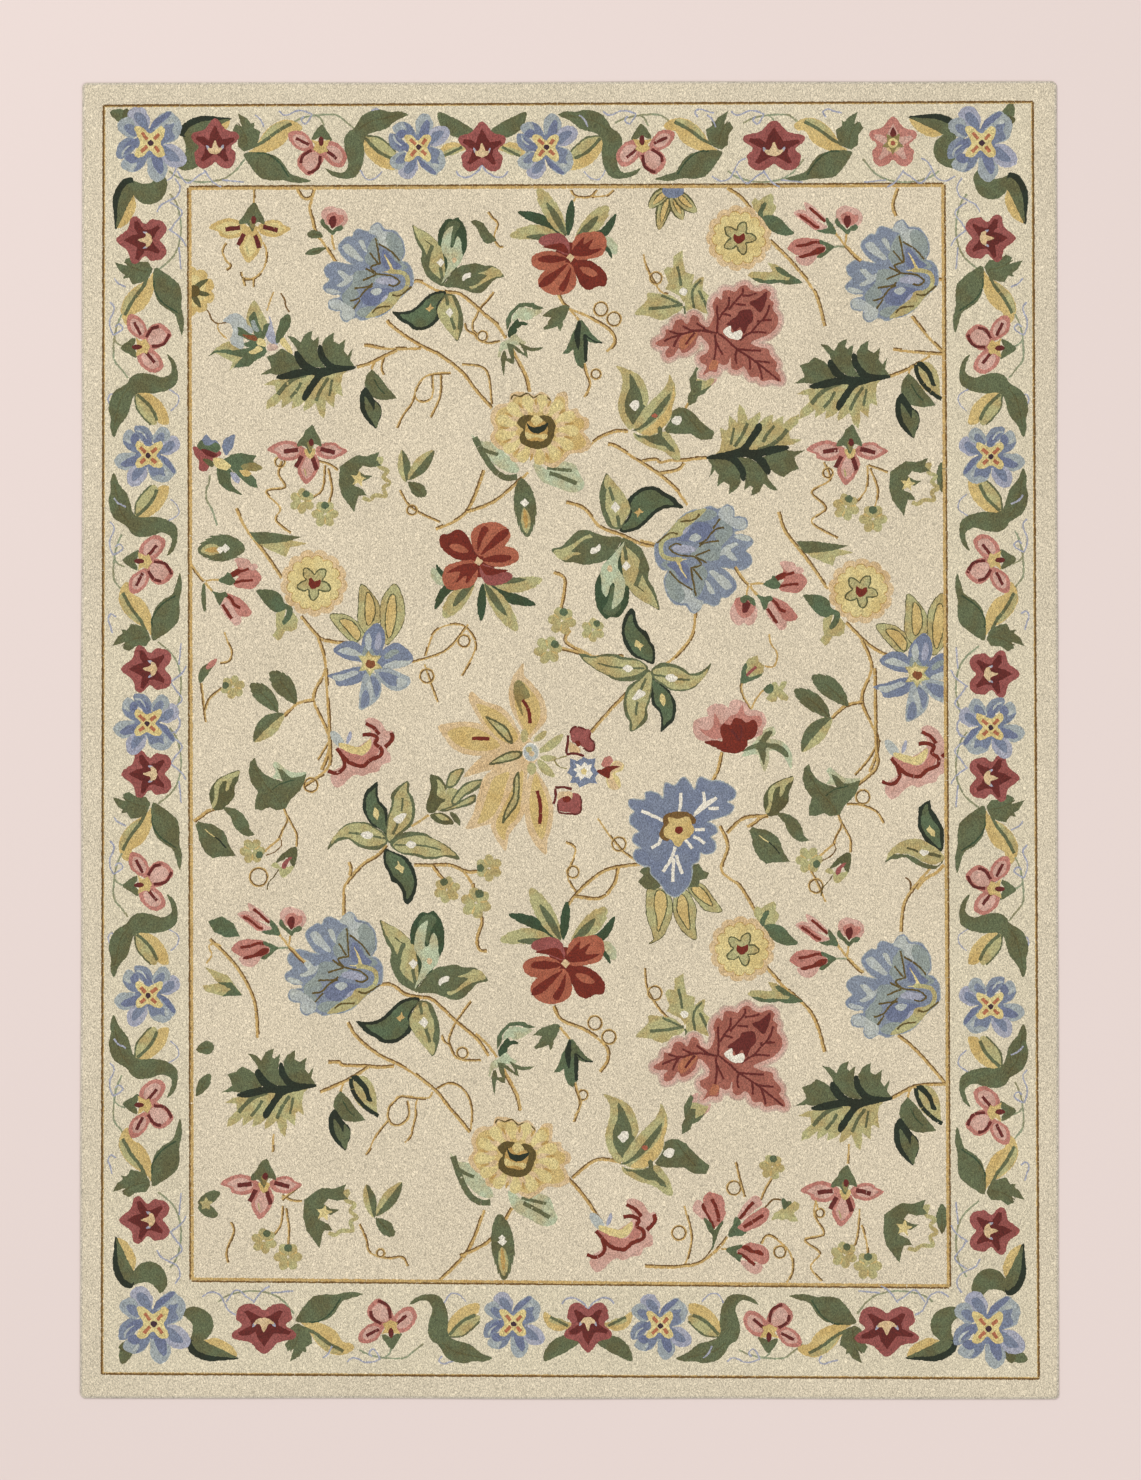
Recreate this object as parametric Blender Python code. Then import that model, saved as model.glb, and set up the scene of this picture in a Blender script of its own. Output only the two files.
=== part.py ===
# A flat hooked wool rug, lying face up: one thin sheet of looped pile on its canvas ground.
# Metres, +Z up. The origin is at the middle of the underside, and +Y runs along the rug's length.
import math

import bmesh
import bpy

# Driving dimensions of the rug
RUG_WIDTH = 2.667
RUG_LENGTH = 3.595
THICKNESS = 0.009
CORNER_RADIUS = 0.014

# The sheet isn't quite square: how far one end or side is longer than the other
FOOT_WIDER_BY = 0.0125
RIGHT_LONGER_BY = 0.0085
SKEW = 0.0018

# Slow waves along the four sides, left there by the hooking and the turned edge
WAVE_HEIGHT = 0.0011
SIDES = (
    # name, waves along the side, where the first wave starts
    ("foot", 2.5, 0.4),
    ("right", 3.5, 1.9),
    ("head", 2.0, 3.1),
    ("left", 3.0, 5.2),
)
STEPS_PER_SIDE = 44
STEPS_PER_CORNER = 7

# Profile of the rim, from the underside to the top of the pile
RIM = (
    # inset from the outline, height
    (0.0006, 0.0),
    (0.0000, 0.0012),
    (0.0000, 0.0042),
    (0.0008, 0.0064),
    (0.0024, 0.0079),
    (0.0046, 0.0087),
    (0.0075, THICKNESS),
)

# Cream wool, as on the ground of the rug
WOOL_COLOUR = (0.67, 0.58, 0.43, 1.0)
WOOL_ROUGHNESS = 0.95


def corner_points():
    """The four corners in order from the foot's left one, before they are rounded."""
    half_width = RUG_WIDTH / 2
    half_length = RUG_LENGTH / 2
    wide = FOOT_WIDER_BY / 4
    long = RIGHT_LONGER_BY / 4
    return (
        (-half_width - wide, -half_length + long - SKEW),
        (half_width + wide, -half_length - long),
        (half_width - wide, half_length + long),
        (-half_width + wide, half_length - long),
    )


def inset_point(corner, before, after, inset):
    """The corner moved inwards by the inset, along both of its sides."""
    x, y = corner
    for other in (before, after):
        length = math.hypot(other[0] - x, other[1] - y)
        corner = (
            corner[0] + inset * (other[0] - x) / length,
            corner[1] + inset * (other[1] - y) / length,
        )
    return corner


def side_wave(share, waves, start):
    """How far the side bulges out at this share of its length; nothing at the corners."""
    fade = math.sin(math.pi * share)
    return WAVE_HEIGHT * fade * math.sin(start + 2 * math.pi * waves * share)


def outline(inset):
    """The rug's outline, counterclockwise seen from above, moved inwards by the inset."""
    corners = corner_points()
    radius = CORNER_RADIUS - inset
    points = []
    for index, (_, waves, start) in enumerate(SIDES):
        before = corners[index - 1]
        corner = corners[index]
        after = corners[(index + 1) % 4]
        beyond = corners[(index + 2) % 4]
        centre = inset_point(corner, before, after, CORNER_RADIUS)
        next_centre = inset_point(after, corner, beyond, CORNER_RADIUS)
        direction = math.atan2(after[1] - corner[1], after[0] - corner[0])
        arrival = math.atan2(corner[1] - before[1], corner[0] - before[0])
        turn = (direction - arrival) % (2 * math.pi)
        for step in range(STEPS_PER_CORNER):
            angle = arrival - math.pi / 2 + turn * step / STEPS_PER_CORNER
            points.append((centre[0] + radius * math.cos(angle), centre[1] + radius * math.sin(angle)))
        outwards = (math.sin(direction), -math.cos(direction))
        for step in range(STEPS_PER_SIDE):
            share = step / STEPS_PER_SIDE
            reach = radius + side_wave(share, waves, start)
            x = centre[0] + (next_centre[0] - centre[0]) * share + outwards[0] * reach
            y = centre[1] + (next_centre[1] - centre[1]) * share + outwards[1] * reach
            points.append((x, y))
    return points


def wool_material():
    material = bpy.data.materials.new("cream_wool")
    material.use_nodes = True
    shader = material.node_tree.nodes["Principled BSDF"]
    shader.inputs["Base Color"].default_value = WOOL_COLOUR
    shader.inputs["Roughness"].default_value = WOOL_ROUGHNESS
    shader.inputs["Metallic"].default_value = 0.0
    return material


def make_rug():
    """One closed sheet: its rim turns over in a soft round, and both faces are flat."""
    sheet = bmesh.new()
    rings = []
    for inset, height in RIM:
        rings.append([sheet.verts.new((x, y, height)) for x, y in outline(inset)])
    count = len(rings[0])
    for lower, upper in zip(rings, rings[1:]):
        for index in range(count):
            after = (index + 1) % count
            sheet.faces.new((lower[index], lower[after], upper[after], upper[index]))
    sheet.faces.new(tuple(reversed(rings[0])))
    sheet.faces.new(tuple(rings[-1]))
    mesh = bpy.data.meshes.new("hooked_rug")
    sheet.to_mesh(mesh)
    sheet.free()
    mesh.shade_smooth()
    mesh.set_sharp_from_angle(angle=math.radians(50))
    mesh.materials.append(wool_material())
    rug = bpy.data.objects.new("hooked_rug", mesh)
    bpy.context.scene.collection.objects.link(rug)
    return rug


for old in list(bpy.data.objects):
    bpy.data.objects.remove(old)
make_rug()
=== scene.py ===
import math

import bpy
import numpy as np
from mathutils.geometry import delaunay_2d_cdt
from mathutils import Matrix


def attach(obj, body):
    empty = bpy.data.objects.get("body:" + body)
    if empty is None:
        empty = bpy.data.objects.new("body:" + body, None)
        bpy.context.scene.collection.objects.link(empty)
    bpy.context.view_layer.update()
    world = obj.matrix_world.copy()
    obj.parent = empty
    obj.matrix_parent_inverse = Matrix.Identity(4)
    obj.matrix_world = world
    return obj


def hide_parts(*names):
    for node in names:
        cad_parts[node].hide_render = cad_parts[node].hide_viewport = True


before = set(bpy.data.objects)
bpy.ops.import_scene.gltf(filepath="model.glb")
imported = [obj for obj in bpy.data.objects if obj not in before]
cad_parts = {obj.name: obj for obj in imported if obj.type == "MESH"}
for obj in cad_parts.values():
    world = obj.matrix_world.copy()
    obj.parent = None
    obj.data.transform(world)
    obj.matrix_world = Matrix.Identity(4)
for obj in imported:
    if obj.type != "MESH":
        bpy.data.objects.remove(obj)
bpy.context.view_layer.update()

# The design is drawn in the photograph's pixels, x across and y down, and laid out in metres at the end
PIXEL = 0.00273
CENTRE_ACROSS = 569.5
CENTRE_DOWN = 740.2
PHOTO_HIGH = 1480

# The sheet: the same outline as its solid has
RUG_WIDTH = 2.667
RUG_LENGTH = 3.595
THICKNESS = 0.009
CORNER_RADIUS = 0.014
FOOT_WIDER_BY = 0.0125
RIGHT_LONGER_BY = 0.0085
SKEW = 0.0018
WAVE_HEIGHT = 0.0011
SIDES = (
    # name, waves along the side, where the first wave starts
    ("foot", 2.5, 0.4),
    ("right", 3.5, 1.9),
    ("head", 2.0, 3.1),
    ("left", 3.0, 5.2),
)
STEPS_PER_SIDE = 260
STEPS_PER_CORNER = 9

# Loops of wool, in pixels of the design
OUTLINE_STEP = 1.6
OUTLINE_WOBBLE = 0.36
MOTIF_LOOP = 1.8
GROUND_LOOP = 2.62
CLEAR_OF_OUTLINE = 0.85
CELL = 16.0
CELLS_WIDE = 200
# and in metres
CANVAS_TOP = 0.003
PILE_TOP = 0.0086
LOOP_UNEVEN = 0.00026
OUTLINE_SUNK = 0.0005
RIM_ROUND = 0.0075
RIM_DROP = 0.0046
RANDOM = np.random.default_rng(442)

# Yarns: name, family, red, green, blue as they look in the photograph
YARNS = (
    ("cream", "cream", 222, 208, 181),
    ("border_cream", "cream", 220, 208, 180),
    ("band_cream", "cream", 219, 206, 180),
    # rim: greyer than the cream, painted shade on the outer strip where the edge rounds down
    ("rim", "cream", 205, 195, 176),
    ("gold", "gold", 201, 169, 108),
    ("brown", "gold", 118, 88, 45),
    ("umber", "gold", 97, 82, 40),
    ("yellow", "gold", 207, 181, 119),
    ("butter", "gold", 219, 201, 141),
    ("peach", "gold", 216, 189, 147),
    ("ochre", "gold", 190, 156, 92),
    ("green", "green", 98, 106, 74),
    ("moss", "green", 92, 94, 60),
    ("dark_green", "green", 58, 78, 52),
    ("pine", "green", 90, 106, 76),
    ("black_green", "green", 38, 48, 34),
    ("light_green", "green", 180, 175, 124),
    ("olive", "green", 140, 132, 84),
    ("mint", "green", 184, 193, 160),
    ("tendril_green", "green", 146, 154, 124),
    ("blue", "blue", 122, 130, 147),
    ("fan_blue", "blue", 132, 140, 152),
    ("deep_blue", "blue", 112, 119, 142),
    ("pale_blue", "blue", 162, 168, 166),
    ("mist", "blue", 184, 187, 178),
    ("sea", "blue", 146, 154, 146),
    ("lavender", "blue", 168, 168, 178),
    ("rose", "red", 152, 84, 78),
    ("oak", "red", 162, 98, 82),
    ("mauve", "red", 200, 174, 156),
    ("rust_orange", "red", 178, 112, 80),
    ("plum", "blue", 66, 44, 52),
    ("rust", "gold", 132, 78, 46),
    ("pink", "red", 190, 128, 114),
    ("light_pink", "red", 210, 170, 154),
    ("maroon", "red", 102, 38, 32),
    ("dark_red", "red", 116, 40, 24),
    ("orange", "red", 172, 98, 72),
    ("white", "cream", 232, 224, 206),
)
YARN_NAMES = [row[0] for row in YARNS]


def linear(value):
    value = value / 255
    return value / 12.92 if value <= 0.04045 else ((value + 0.055) / 1.055) ** 2.4


# Drawing with outlines -------------------------------------------------
shapes = []


def smooth(points, closed, step=OUTLINE_STEP):
    """A Catmull-Rom curve through the points, with a point about every step."""
    points = np.asarray(points, float)
    count = len(points)
    spans = count if closed else count - 1
    curve = []
    for index in range(spans):
        if closed:
            a, b, c, d = (points[(index + k) % count] for k in (-1, 0, 1, 2))
        else:
            a, b, c, d = (points[min(max(index + k, 0), count - 1)] for k in (-1, 0, 1, 2))
        pieces = max(1, int(math.hypot(*(c - b)) / step + 0.5))
        for t in np.arange(pieces) / pieces:
            curve.append(
                0.5 * (2 * b + (c - a) * t + (2 * a - 5 * b + 4 * c - d) * t * t
                       + (3 * b - 3 * c + d - a) * t ** 3)
            )
    if not closed:
        curve.append(points[-1])
    return np.array(curve)


def fill(yarn, outline):
    """Adds a filled outline in one yarn, on top of what is there."""
    outline = np.asarray(outline, float)
    x, y = outline[:, 0], outline[:, 1]
    area = float(np.sum(x * np.roll(y, -1) - y * np.roll(x, -1)))
    if abs(area) < 1.0 or len(outline) < 3:
        return
    shapes.append((YARN_NAMES.index(yarn), outline if area > 0 else outline[::-1]))


class Pen:
    """Draws motifs in their own coordinates: along, across and a size, placed on the rug."""

    def __init__(self, x=0, y=0, turn=0, size=1, flip=1, matrix=None):
        angle = math.radians(turn)
        self.origin = np.array((x, y), float)
        if matrix is None:
            cosine, sine = math.cos(angle) * size, math.sin(angle) * size
            matrix = ((cosine * flip, -sine), (sine * flip, cosine))
        self.matrix = np.array(matrix, float)
        self.times = 1

    def at(self, points):
        return np.asarray(points, float) @ self.matrix.T + self.origin

    def draft(self, across, down, times, over=1):
        """A pen for a motif drawn so many times larger, about this middle, and turned over for -1."""
        matrix = self.matrix @ np.diag((1.0, over)) / times
        pen = Pen(matrix=matrix)
        pen.origin = self.origin - matrix @ np.array((across, down), float)
        pen.times = self.times * times
        return pen

    def moved(self, across, down):
        """The same pen with its origin moved in its own units."""
        pen = Pen(matrix=self.matrix)
        pen.origin = self.origin + self.matrix @ np.array((across, down), float)
        pen.times = self.times
        return pen

    def halo(self, yarn, points, width):
        """A rim of rows round an outline that is filled afterwards."""
        ring = smooth(self.at(points), True)
        step = np.roll(ring, -1, axis=0) - np.roll(ring, 1, axis=0)
        normal = np.column_stack((step[:, 1], -step[:, 0])) / np.maximum(np.hypot(*step.T), 1e-6)[:, None]
        x, y = ring[:, 0], ring[:, 1]
        if np.sum(x * np.roll(y, -1) - y * np.roll(x, -1)) < 0:
            normal = -normal
        fill(yarn, ring + normal * width)

    def blob(self, yarn, *points):
        fill(yarn, smooth(self.at(points), True))

    def sharp(self, yarn, *points):
        corners = self.at(points)
        rows = []
        for start, end in zip(corners, np.roll(corners, -1, axis=0)):
            pieces = max(1, int(math.hypot(*(end - start)) / OUTLINE_STEP + 0.5))
            for k in range(pieces):
                rows.append(start + (end - start) * k / pieces)
        fill(yarn, rows)

    def row(self, yarn, points, width=2.0, shift=0.0, broken=0.0):
        """A row of loops along a smooth line, in short stretches so that it may cross itself."""
        line = smooth(self.at(points), False, 1.8)
        if len(line) < 2:
            return
        slope = np.gradient(line, axis=0)
        length = np.maximum(np.hypot(slope[:, 0], slope[:, 1]), 1e-6)
        normal = np.column_stack((-slope[:, 1], slope[:, 0])) / length[:, None]
        left = line + normal * (shift + width / 2)
        right = line + normal * (shift - width / 2)
        for start in range(0, len(line) - 1, 6):
            stop = min(start + 7, len(line))
            if len(line) - stop < 2:
                stop = len(line)
            if RANDOM.random() < broken:
                continue
            fill(yarn, np.vstack((left[start:stop], right[start:stop][::-1])))
            if stop == len(line):
                break

    def vine(self, *points):
        self.row("gold", points, 2.7, 0.5)
        self.row("brown", points, 1.4, -1.2, 0.12)

    def thread(self, *points):
        self.row("gold", points, 1.9, 0.4)
        self.row("brown", points, 1.3, -0.7, 0.16)

    def ring(self, x, y, radius=5.5, yarn="brown"):
        turn = [(x + radius * math.cos(a), y + radius * math.sin(a)) for a in np.linspace(0, 6.28, 9)]
        self.row("gold" if yarn == "brown" else yarn, turn, 2.2)
        self.row(yarn, turn, 1.2, 0.5)

    def leaf(self, yarn, spine, width, round_=1.0, fat=1.0, teeth=0, depth=0.45, lean=0.5,
             sides=(1, 1), wave=0.0):
        """A leaf or petal along its spine. sides scales its left and right halves, and teeth cuts
        lobes that lean towards the tip."""
        line = smooth(spine, False, 1.4 * self.times)
        share = np.linspace(0, 1, len(line))
        slope = np.gradient(line, axis=0)
        length = np.maximum(np.hypot(slope[:, 0], slope[:, 1]), 1e-6)
        along = slope / length[:, None]
        normal = np.column_stack((-along[:, 1], along[:, 0]))
        half = width / 2 * np.sin(np.pi * share ** fat) ** round_
        push = np.zeros(len(line))
        if teeth:
            saw = (teeth * share) % 1.0
            half = half * (1 - depth + depth * np.sin(saw * np.pi / 2 + 0.25) ** 1.2)
            push = lean * half * saw
        if wave:
            half = half * (1 + wave * np.sin(share * 25))
        left = line + normal * (half * sides[0])[:, None] + along * (push * (sides[0] > 0))[:, None]
        right = line - normal * (half * sides[1])[:, None] + along * (push * (sides[1] > 0))[:, None]
        outline = self.at(np.vstack((left, right[::-1][:-1])))
        keep = np.hypot(*(outline - np.roll(outline, 1, axis=0)).T) > 0.35
        fill(yarn, outline[keep])

    def petals(self, yarn, count, inner, outer, width, start=0.0, round_=0.5, fat=1.3, **more):
        for index in range(count):
            angle = math.radians(start + 360 * index / count)
            way = np.array((math.sin(angle), -math.cos(angle)))
            self.leaf(yarn, (way * inner, way * (inner + outer) / 2, way * outer), width, round_, fat, **more)

    def scallops(self, yarn, count, radius, depth=0.1, start=0.0):
        ring = []
        for angle in np.linspace(0, 2 * math.pi, count * 8, endpoint=False):
            reach = radius * (1 - depth + depth * abs(math.sin(count / 2 * angle + start)) ** 0.6)
            ring.append((reach * math.cos(angle), reach * math.sin(angle)))
        self.blob(yarn, *ring)

    def star(self, yarn, count, outer, inner, start=0.0):
        ring = []
        for index in range(2 * count):
            angle = math.radians(start + 180 * index / count)
            reach = inner if index % 2 else outer
            ring.append((reach * math.sin(angle), -reach * math.cos(angle)))
        self.sharp(yarn, *ring)

    def dot(self, yarn, x, y, radius, high=None):
        high = high or radius
        ring = [(x + radius * math.cos(a), y + high * math.sin(a)) for a in np.arange(0, 6.2, 0.7)]
        self.blob(yarn, *ring)

    def diamond(self, yarn, x, y, radius=4.0):
        self.sharp(yarn, (x - radius, y), (x, y - radius), (x + radius, y), (x, y + radius))


# Leaves ------------------------------------------------------------------

def bent(base, tip, bend):
    """A spine from base to tip that swings out by bend, as a share of its length."""
    base, tip = np.asarray(base, float), np.asarray(tip, float)
    way = tip - base
    side = np.array((-way[1], way[0]))
    return (base, base + way * 0.33 + side * bend * 0.9, base + way * 0.68 + side * bend * 0.9, tip)


def jewel_leaf(pen, kind, base, tip, width, bend=0.0):
    """One leaf of the five-leaf sprays, with its diamond."""
    spine = bent(base, tip, bend)
    base, tip = np.asarray(base, float), np.asarray(tip, float)
    way = tip - base
    side = np.array((-way[1], way[0]))
    gem = base + way * 0.42 + side * bend * 0.9
    if kind == "light":
        pen.leaf("green", spine, width, 0.85, 0.8, teeth=9, depth=0.07)
        pen.leaf("light_green", spine, width * 0.94, 0.85, 0.8, sides=(0.74, 1.02))
        pen.row("moss", (gem, base + way * 0.62 + side * bend * 0.8, base + way * 0.8 + side * bend * 0.5), 1.6)
        pen.row("green", (base, gem), 1.6)
        pen.diamond("white", *gem, 4.6)
    elif kind == "core":
        pen.leaf("light_green", spine, width, 0.8, 0.85, teeth=9, depth=0.06)
        pen.leaf("green", bent(base, base + way * 0.88, bend), width * 0.62, 0.85, 0.8)
        pen.diamond("white", *gem, 5)
    elif kind == "stripe":
        pen.leaf("light_green", spine, width, 0.8, 0.85)
        pen.leaf("yellow", spine, width * 0.9, 0.8, 0.85, sides=(0.9, -0.1))
        pen.row("green", (base, gem, base + way * 0.75 + side * bend * 0.7), 3.4)
        pen.dot("orange", *gem, 2.6)
    elif kind == "green":
        pen.leaf("green", spine, width, 0.75, 0.85, teeth=8, depth=0.08)
        pen.leaf("light_green", bent(base + way * 0.5, base + way * 0.94, bend), width * 0.42, 0.8)
        pen.leaf("ochre", bent(base + way * 0.52, base + way * 0.86, bend), width * 0.2, 0.8)
        pen.diamond("white", *gem, 4.6)
    elif kind == "mint":
        pen.leaf("dark_green", spine, width, 0.5, 0.95, teeth=9, depth=0.06)
        pen.leaf("mint", (base, base + way * 0.4), width * 0.9, 0.6, 1.2)
        for hand in (-0.2, 0.16):
            reach = 0.86 if hand < 0 else 0.7
            start = base + way * 0.2
            pen.leaf("mint", (start, start + way * (reach - 0.2) * 0.5 + side * hand * 1.2,
                              base + way * reach + side * hand * 0.5), width * 0.26, 0.6)
        pen.diamond("gold", *(base + way * 0.34), 2.4)
    else:
        pen.leaf("black_green", spine, width, 0.7, 0.85, teeth=9, depth=0.08)
        pen.leaf("dark_green", spine, width * 0.9, 0.75, 0.85, sides=(0.72, 0.9))
        pen.leaf("green", spine, width * 0.6, 0.8, 0.8, sides=(0.4, 0.9))
        pen.diamond("gold", *gem, 4)


def plain_leaf(pen, kind, base, tip, width, bend=0.0):
    spine = bent(base, tip, bend)
    if kind == "two":
        pen.leaf("light_green", spine, width, 0.85)
        pen.leaf("green", spine, width, 0.85, sides=(1, 0.1))
    elif kind == "dark":
        pen.leaf("dark_green", spine, width, 0.85)
        pen.leaf("green", spine, width * 0.6, 0.85)
    elif kind == "mint":
        pen.leaf("mint", spine, width, 0.7)
        pen.leaf("green", spine, width, 0.85, sides=(0.9, -0.35))
    elif kind == "light":
        pen.leaf("light_green", spine, width, 0.85, teeth=5, depth=0.2)
        pen.row("green", spine[:3], 2.4)
    else:
        pen.leaf("green", spine, width, 0.8, teeth=7, depth=0.08)
        pen.row("moss", spine[:3], 1.5)


def acanthus(pen):
    """A big leaf with its stem at the origin and its tip to the left: toothed green lobes above,
    pale fingers below, and a dark midrib that branches."""
    pen = pen.draft(835, 378, 7.9)
    pen.sharp("light_green", (780, 400), (735, 440), (722, 520), (737, 618), (690, 590), (672, 605), (665, 708),
              (630, 680), (598, 650), (600, 720), (585, 795), (548, 760), (515, 668), (480, 700), (425, 735),
              (418, 700), (440, 645), (390, 690), (322, 716), (330, 650), (290, 680), (243, 708), (245, 640),
              (190, 690), (118, 718), (128, 650), (200, 580), (190, 528), (95, 521), (170, 482), (300, 462), (500, 436))
    for line, width in (
        (((440, 440), (350, 470), (270, 530), (212, 600)), 4.4), (((400, 500), (370, 560), (312, 628)), 3.2),
        (((622, 465), (560, 560), (520, 650)), 3.4), (((650, 480), (640, 540), (625, 612)), 2.6),
    ):
        pen.row("green", line, width)
    pen.sharp("green", (835, 378), (797, 320), (817, 228), (775, 285), (745, 250), (757, 155), (705, 195), (662, 172),
              (667, 97), (605, 135), (570, 190), (578, 260), (625, 335), (690, 372))
    pen.sharp("green", (604, 388), (560, 330), (532, 250), (547, 127), (500, 165), (480, 150), (497, 84), (430, 112),
              (395, 180), (345, 135), (284, 124), (325, 175), (358, 215), (375, 265), (430, 330), (505, 380))
    pen.sharp("green", (428, 382), (360, 300), (300, 255), (240, 228), (190, 270), (122, 293), (150, 350), (158, 385),
              (72, 440), (160, 432), (215, 442), (320, 415))
    midrib = (
        (835, 378), (740, 374), (655, 358), (590, 290), (562, 208), (543, 215), (545, 290), (592, 362), (604, 386),
        (520, 388), (440, 342), (368, 255), (350, 290), (392, 370), (425, 392), (330, 414), (205, 455), (240, 472),
        (330, 465), (430, 440), (515, 445), (470, 520), (418, 600), (420, 640), (442, 635), (505, 540), (565, 462),
        (640, 432), (740, 408), (800, 396),
    )
    pen.halo("black_green", midrib, 0.9)


OAK_OUTLINE = (
    (540, 560), (528, 500), (555, 440), (592, 455), (602, 398), (650, 392), (690, 400), (722, 368), (762, 355),
    (802, 388), (850, 400), (900, 382), (942, 410), (930, 450), (962, 480), (955, 525), (992, 585), (980, 650),
    (930, 700), (880, 722), (830, 742), (800, 765), (850, 790), (922, 806), (935, 845), (962, 880), (985, 915),
    (972, 955), (1000, 990), (1012, 1036), (950, 1022), (880, 1034), (850, 1000), (800, 1004), (770, 955),
    (745, 930), (702, 955), (662, 940), (655, 868), (640, 905), (610, 922), (572, 908), (560, 965), (505, 965),
    (458, 990), (488, 930), (448, 900), (440, 862), (492, 830), (500, 780), (465, 735), (430, 712), (402, 780),
    (350, 824), (312, 832), (290, 800), (252, 852), (205, 864), (196, 818), (222, 790), (150, 784), (126, 762),
    (190, 720), (200, 668), (240, 672), (268, 606), (312, 598), (352, 628), (382, 568), (425, 580), (442, 622), (500, 648),
)
OAK_VEINS = (
    ((560, 695), (500, 680), (440, 640), (415, 622)), ((530, 688), (450, 676), (380, 674), (320, 645)),
    ((400, 676), (310, 700), (225, 682)), ((310, 700), (240, 725), (186, 750)), ((300, 705), (270, 750), (255, 790)),
    ((405, 690), (370, 730), (340, 775)), ((560, 695), (565, 600), (560, 545), (562, 498)),
    ((575, 600), (600, 550), (640, 500), (645, 438)), ((600, 555), (660, 570)), ((640, 530), (690, 470), (740, 410), (740, 375)),
    ((690, 490), (765, 494)), ((740, 430), (800, 425), (840, 410)), ((545, 700), (552, 790), (540, 882)),
    ((550, 750), (580, 810), (600, 850)), ((570, 695), (640, 750), (700, 806), (840, 900), (1000, 1030)),
    ((700, 806), (780, 814), (870, 818)), ((700, 806), (690, 860), (698, 910)), ((790, 870), (795, 920), (792, 952)),
    ((820, 890), (880, 895), (935, 902)), ((850, 910), (870, 970), (880, 1020)), ((718, 742), (800, 690), (910, 690)),
    ((800, 690), (850, 630), (880, 605), (945, 602)), ((880, 605), (915, 550), (930, 495)), ((850, 620), (852, 600)),
)


def oak_leaf(pen):
    """The pink leaf of three lobes and a small one, with a pale rim and dark veins."""
    pen = pen.draft(560, 693, 7.06)
    pen.halo("cream", OAK_OUTLINE, 6.4)
    pen.halo("mauve", OAK_OUTLINE, 5.8)
    pen.halo("light_pink", OAK_OUTLINE, 3.6)
    pen.blob("oak", *OAK_OUTLINE)
    pen.blob("rust_orange", (290, 760), (340, 700), (420, 690), (400, 740), (340, 800), (310, 810))
    pen.blob("rust_orange", (500, 950), (530, 880), (570, 900), (550, 950))
    for vein in OAK_VEINS:
        pen.row("maroon", vein, 2.2)
    pen.blob("maroon", (912, 400), (905, 470), (870, 545), (820, 510), (790, 475), (850, 450))
    pen.blob("maroon", (625, 630), (700, 570), (725, 535), (800, 530), (815, 600), (780, 640), (750, 700),
             (720, 650), (690, 690), (655, 650))
    pen.blob("white", (602, 680), (655, 642), (665, 690), (725, 672), (740, 710), (710, 740), (650, 730))


# Flowers -----------------------------------------------------------------

FAN_OUTLINE = (
    (700, 505), (692, 425), (652, 370), (612, 360), (637, 300), (622, 210), (572, 142), (525, 130), (490, 125),
    (447, 78), (402, 98), (372, 142), (302, 124), (270, 142), (254, 182), (214, 182), (156, 240), (165, 292),
    (215, 352), (262, 384), (205, 380), (150, 368), (100, 370), (50, 412), (60, 462), (90, 495), (42, 545),
    (60, 582), (112, 602), (160, 600), (165, 625), (90, 648), (84, 702), (130, 722), (168, 722), (170, 772),
    (210, 803), (270, 772), (330, 792), (385, 772), (450, 762), (520, 722), (580, 652), (632, 600), (690, 545),
)
FAN_PATCHES = (
    # yarn, outline: laid in this order
    ("mist", ((372, 150), (408, 96), (450, 84), (482, 136), (530, 140), (575, 165), (615, 230), (625, 305), (600, 350),
              (545, 290), (460, 232), (430, 175))),
    ("sea", ((372, 245), (425, 175), (452, 232), (446, 300), (458, 375), (392, 402), (345, 340), (365, 292))),
    ("pale_blue", ((520, 240), (560, 200), (600, 260), (590, 320))),
    ("mist", ((238, 272), (264, 268), (300, 306), (335, 350), (310, 362), (262, 330))),
    ("mist", ((298, 212), (330, 206), (352, 250), (362, 296), (330, 272))),
    ("sea", ((270, 440), (350, 426), (462, 458), (402, 522), (332, 544), (282, 562), (302, 602), (262, 652), (285, 702),
             (205, 692), (175, 622), (200, 580), (250, 522))),
    ("sea", ((560, 150), (612, 200), (632, 300), (606, 352), (660, 400), (610, 420), (540, 300), (500, 200), (520, 150))),
    ("mist", ((60, 560), (120, 566), (170, 590), (120, 600), (70, 588))),
    ("mist", ((180, 250), (220, 230), (260, 262), (300, 330), (250, 330), (200, 290))),
    ("sea", ((330, 700), (420, 690), (430, 742), (380, 768), (320, 770), (280, 740))),
    ("lavender", ((480, 620), (560, 600), (540, 660), (470, 700))),
    ("mist", ((142, 430), (182, 428), (232, 468), (262, 458), (242, 512), (170, 548), (138, 536), (190, 500), (168, 470))),
    ("mist", ((86, 652), (150, 640), (232, 690), (272, 722), (262, 772), (204, 795), (172, 760), (170, 720), (100, 708))),
    ("deep_blue", ((320, 600), (400, 556), (505, 558), (562, 572), (500, 606), (425, 684), (335, 672))),
    ("mist", ((384, 582), (430, 556), (472, 572), (430, 612))),
    ("deep_blue", ((470, 290), (500, 280), (560, 350), (620, 400), (560, 420), (480, 400))),
    ("lavender", ((428, 492), (500, 474), (585, 505), (545, 532), (440, 522))),
    ("light_green", ((352, 778), (420, 702), (500, 640), (530, 590), (602, 578), (648, 572), (602, 632), (542, 702),
                     (462, 752))),
    ("butter", ((486, 308), (520, 350), (560, 420), (600, 440), (530, 440), (470, 438), (530, 415))),
)
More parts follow.
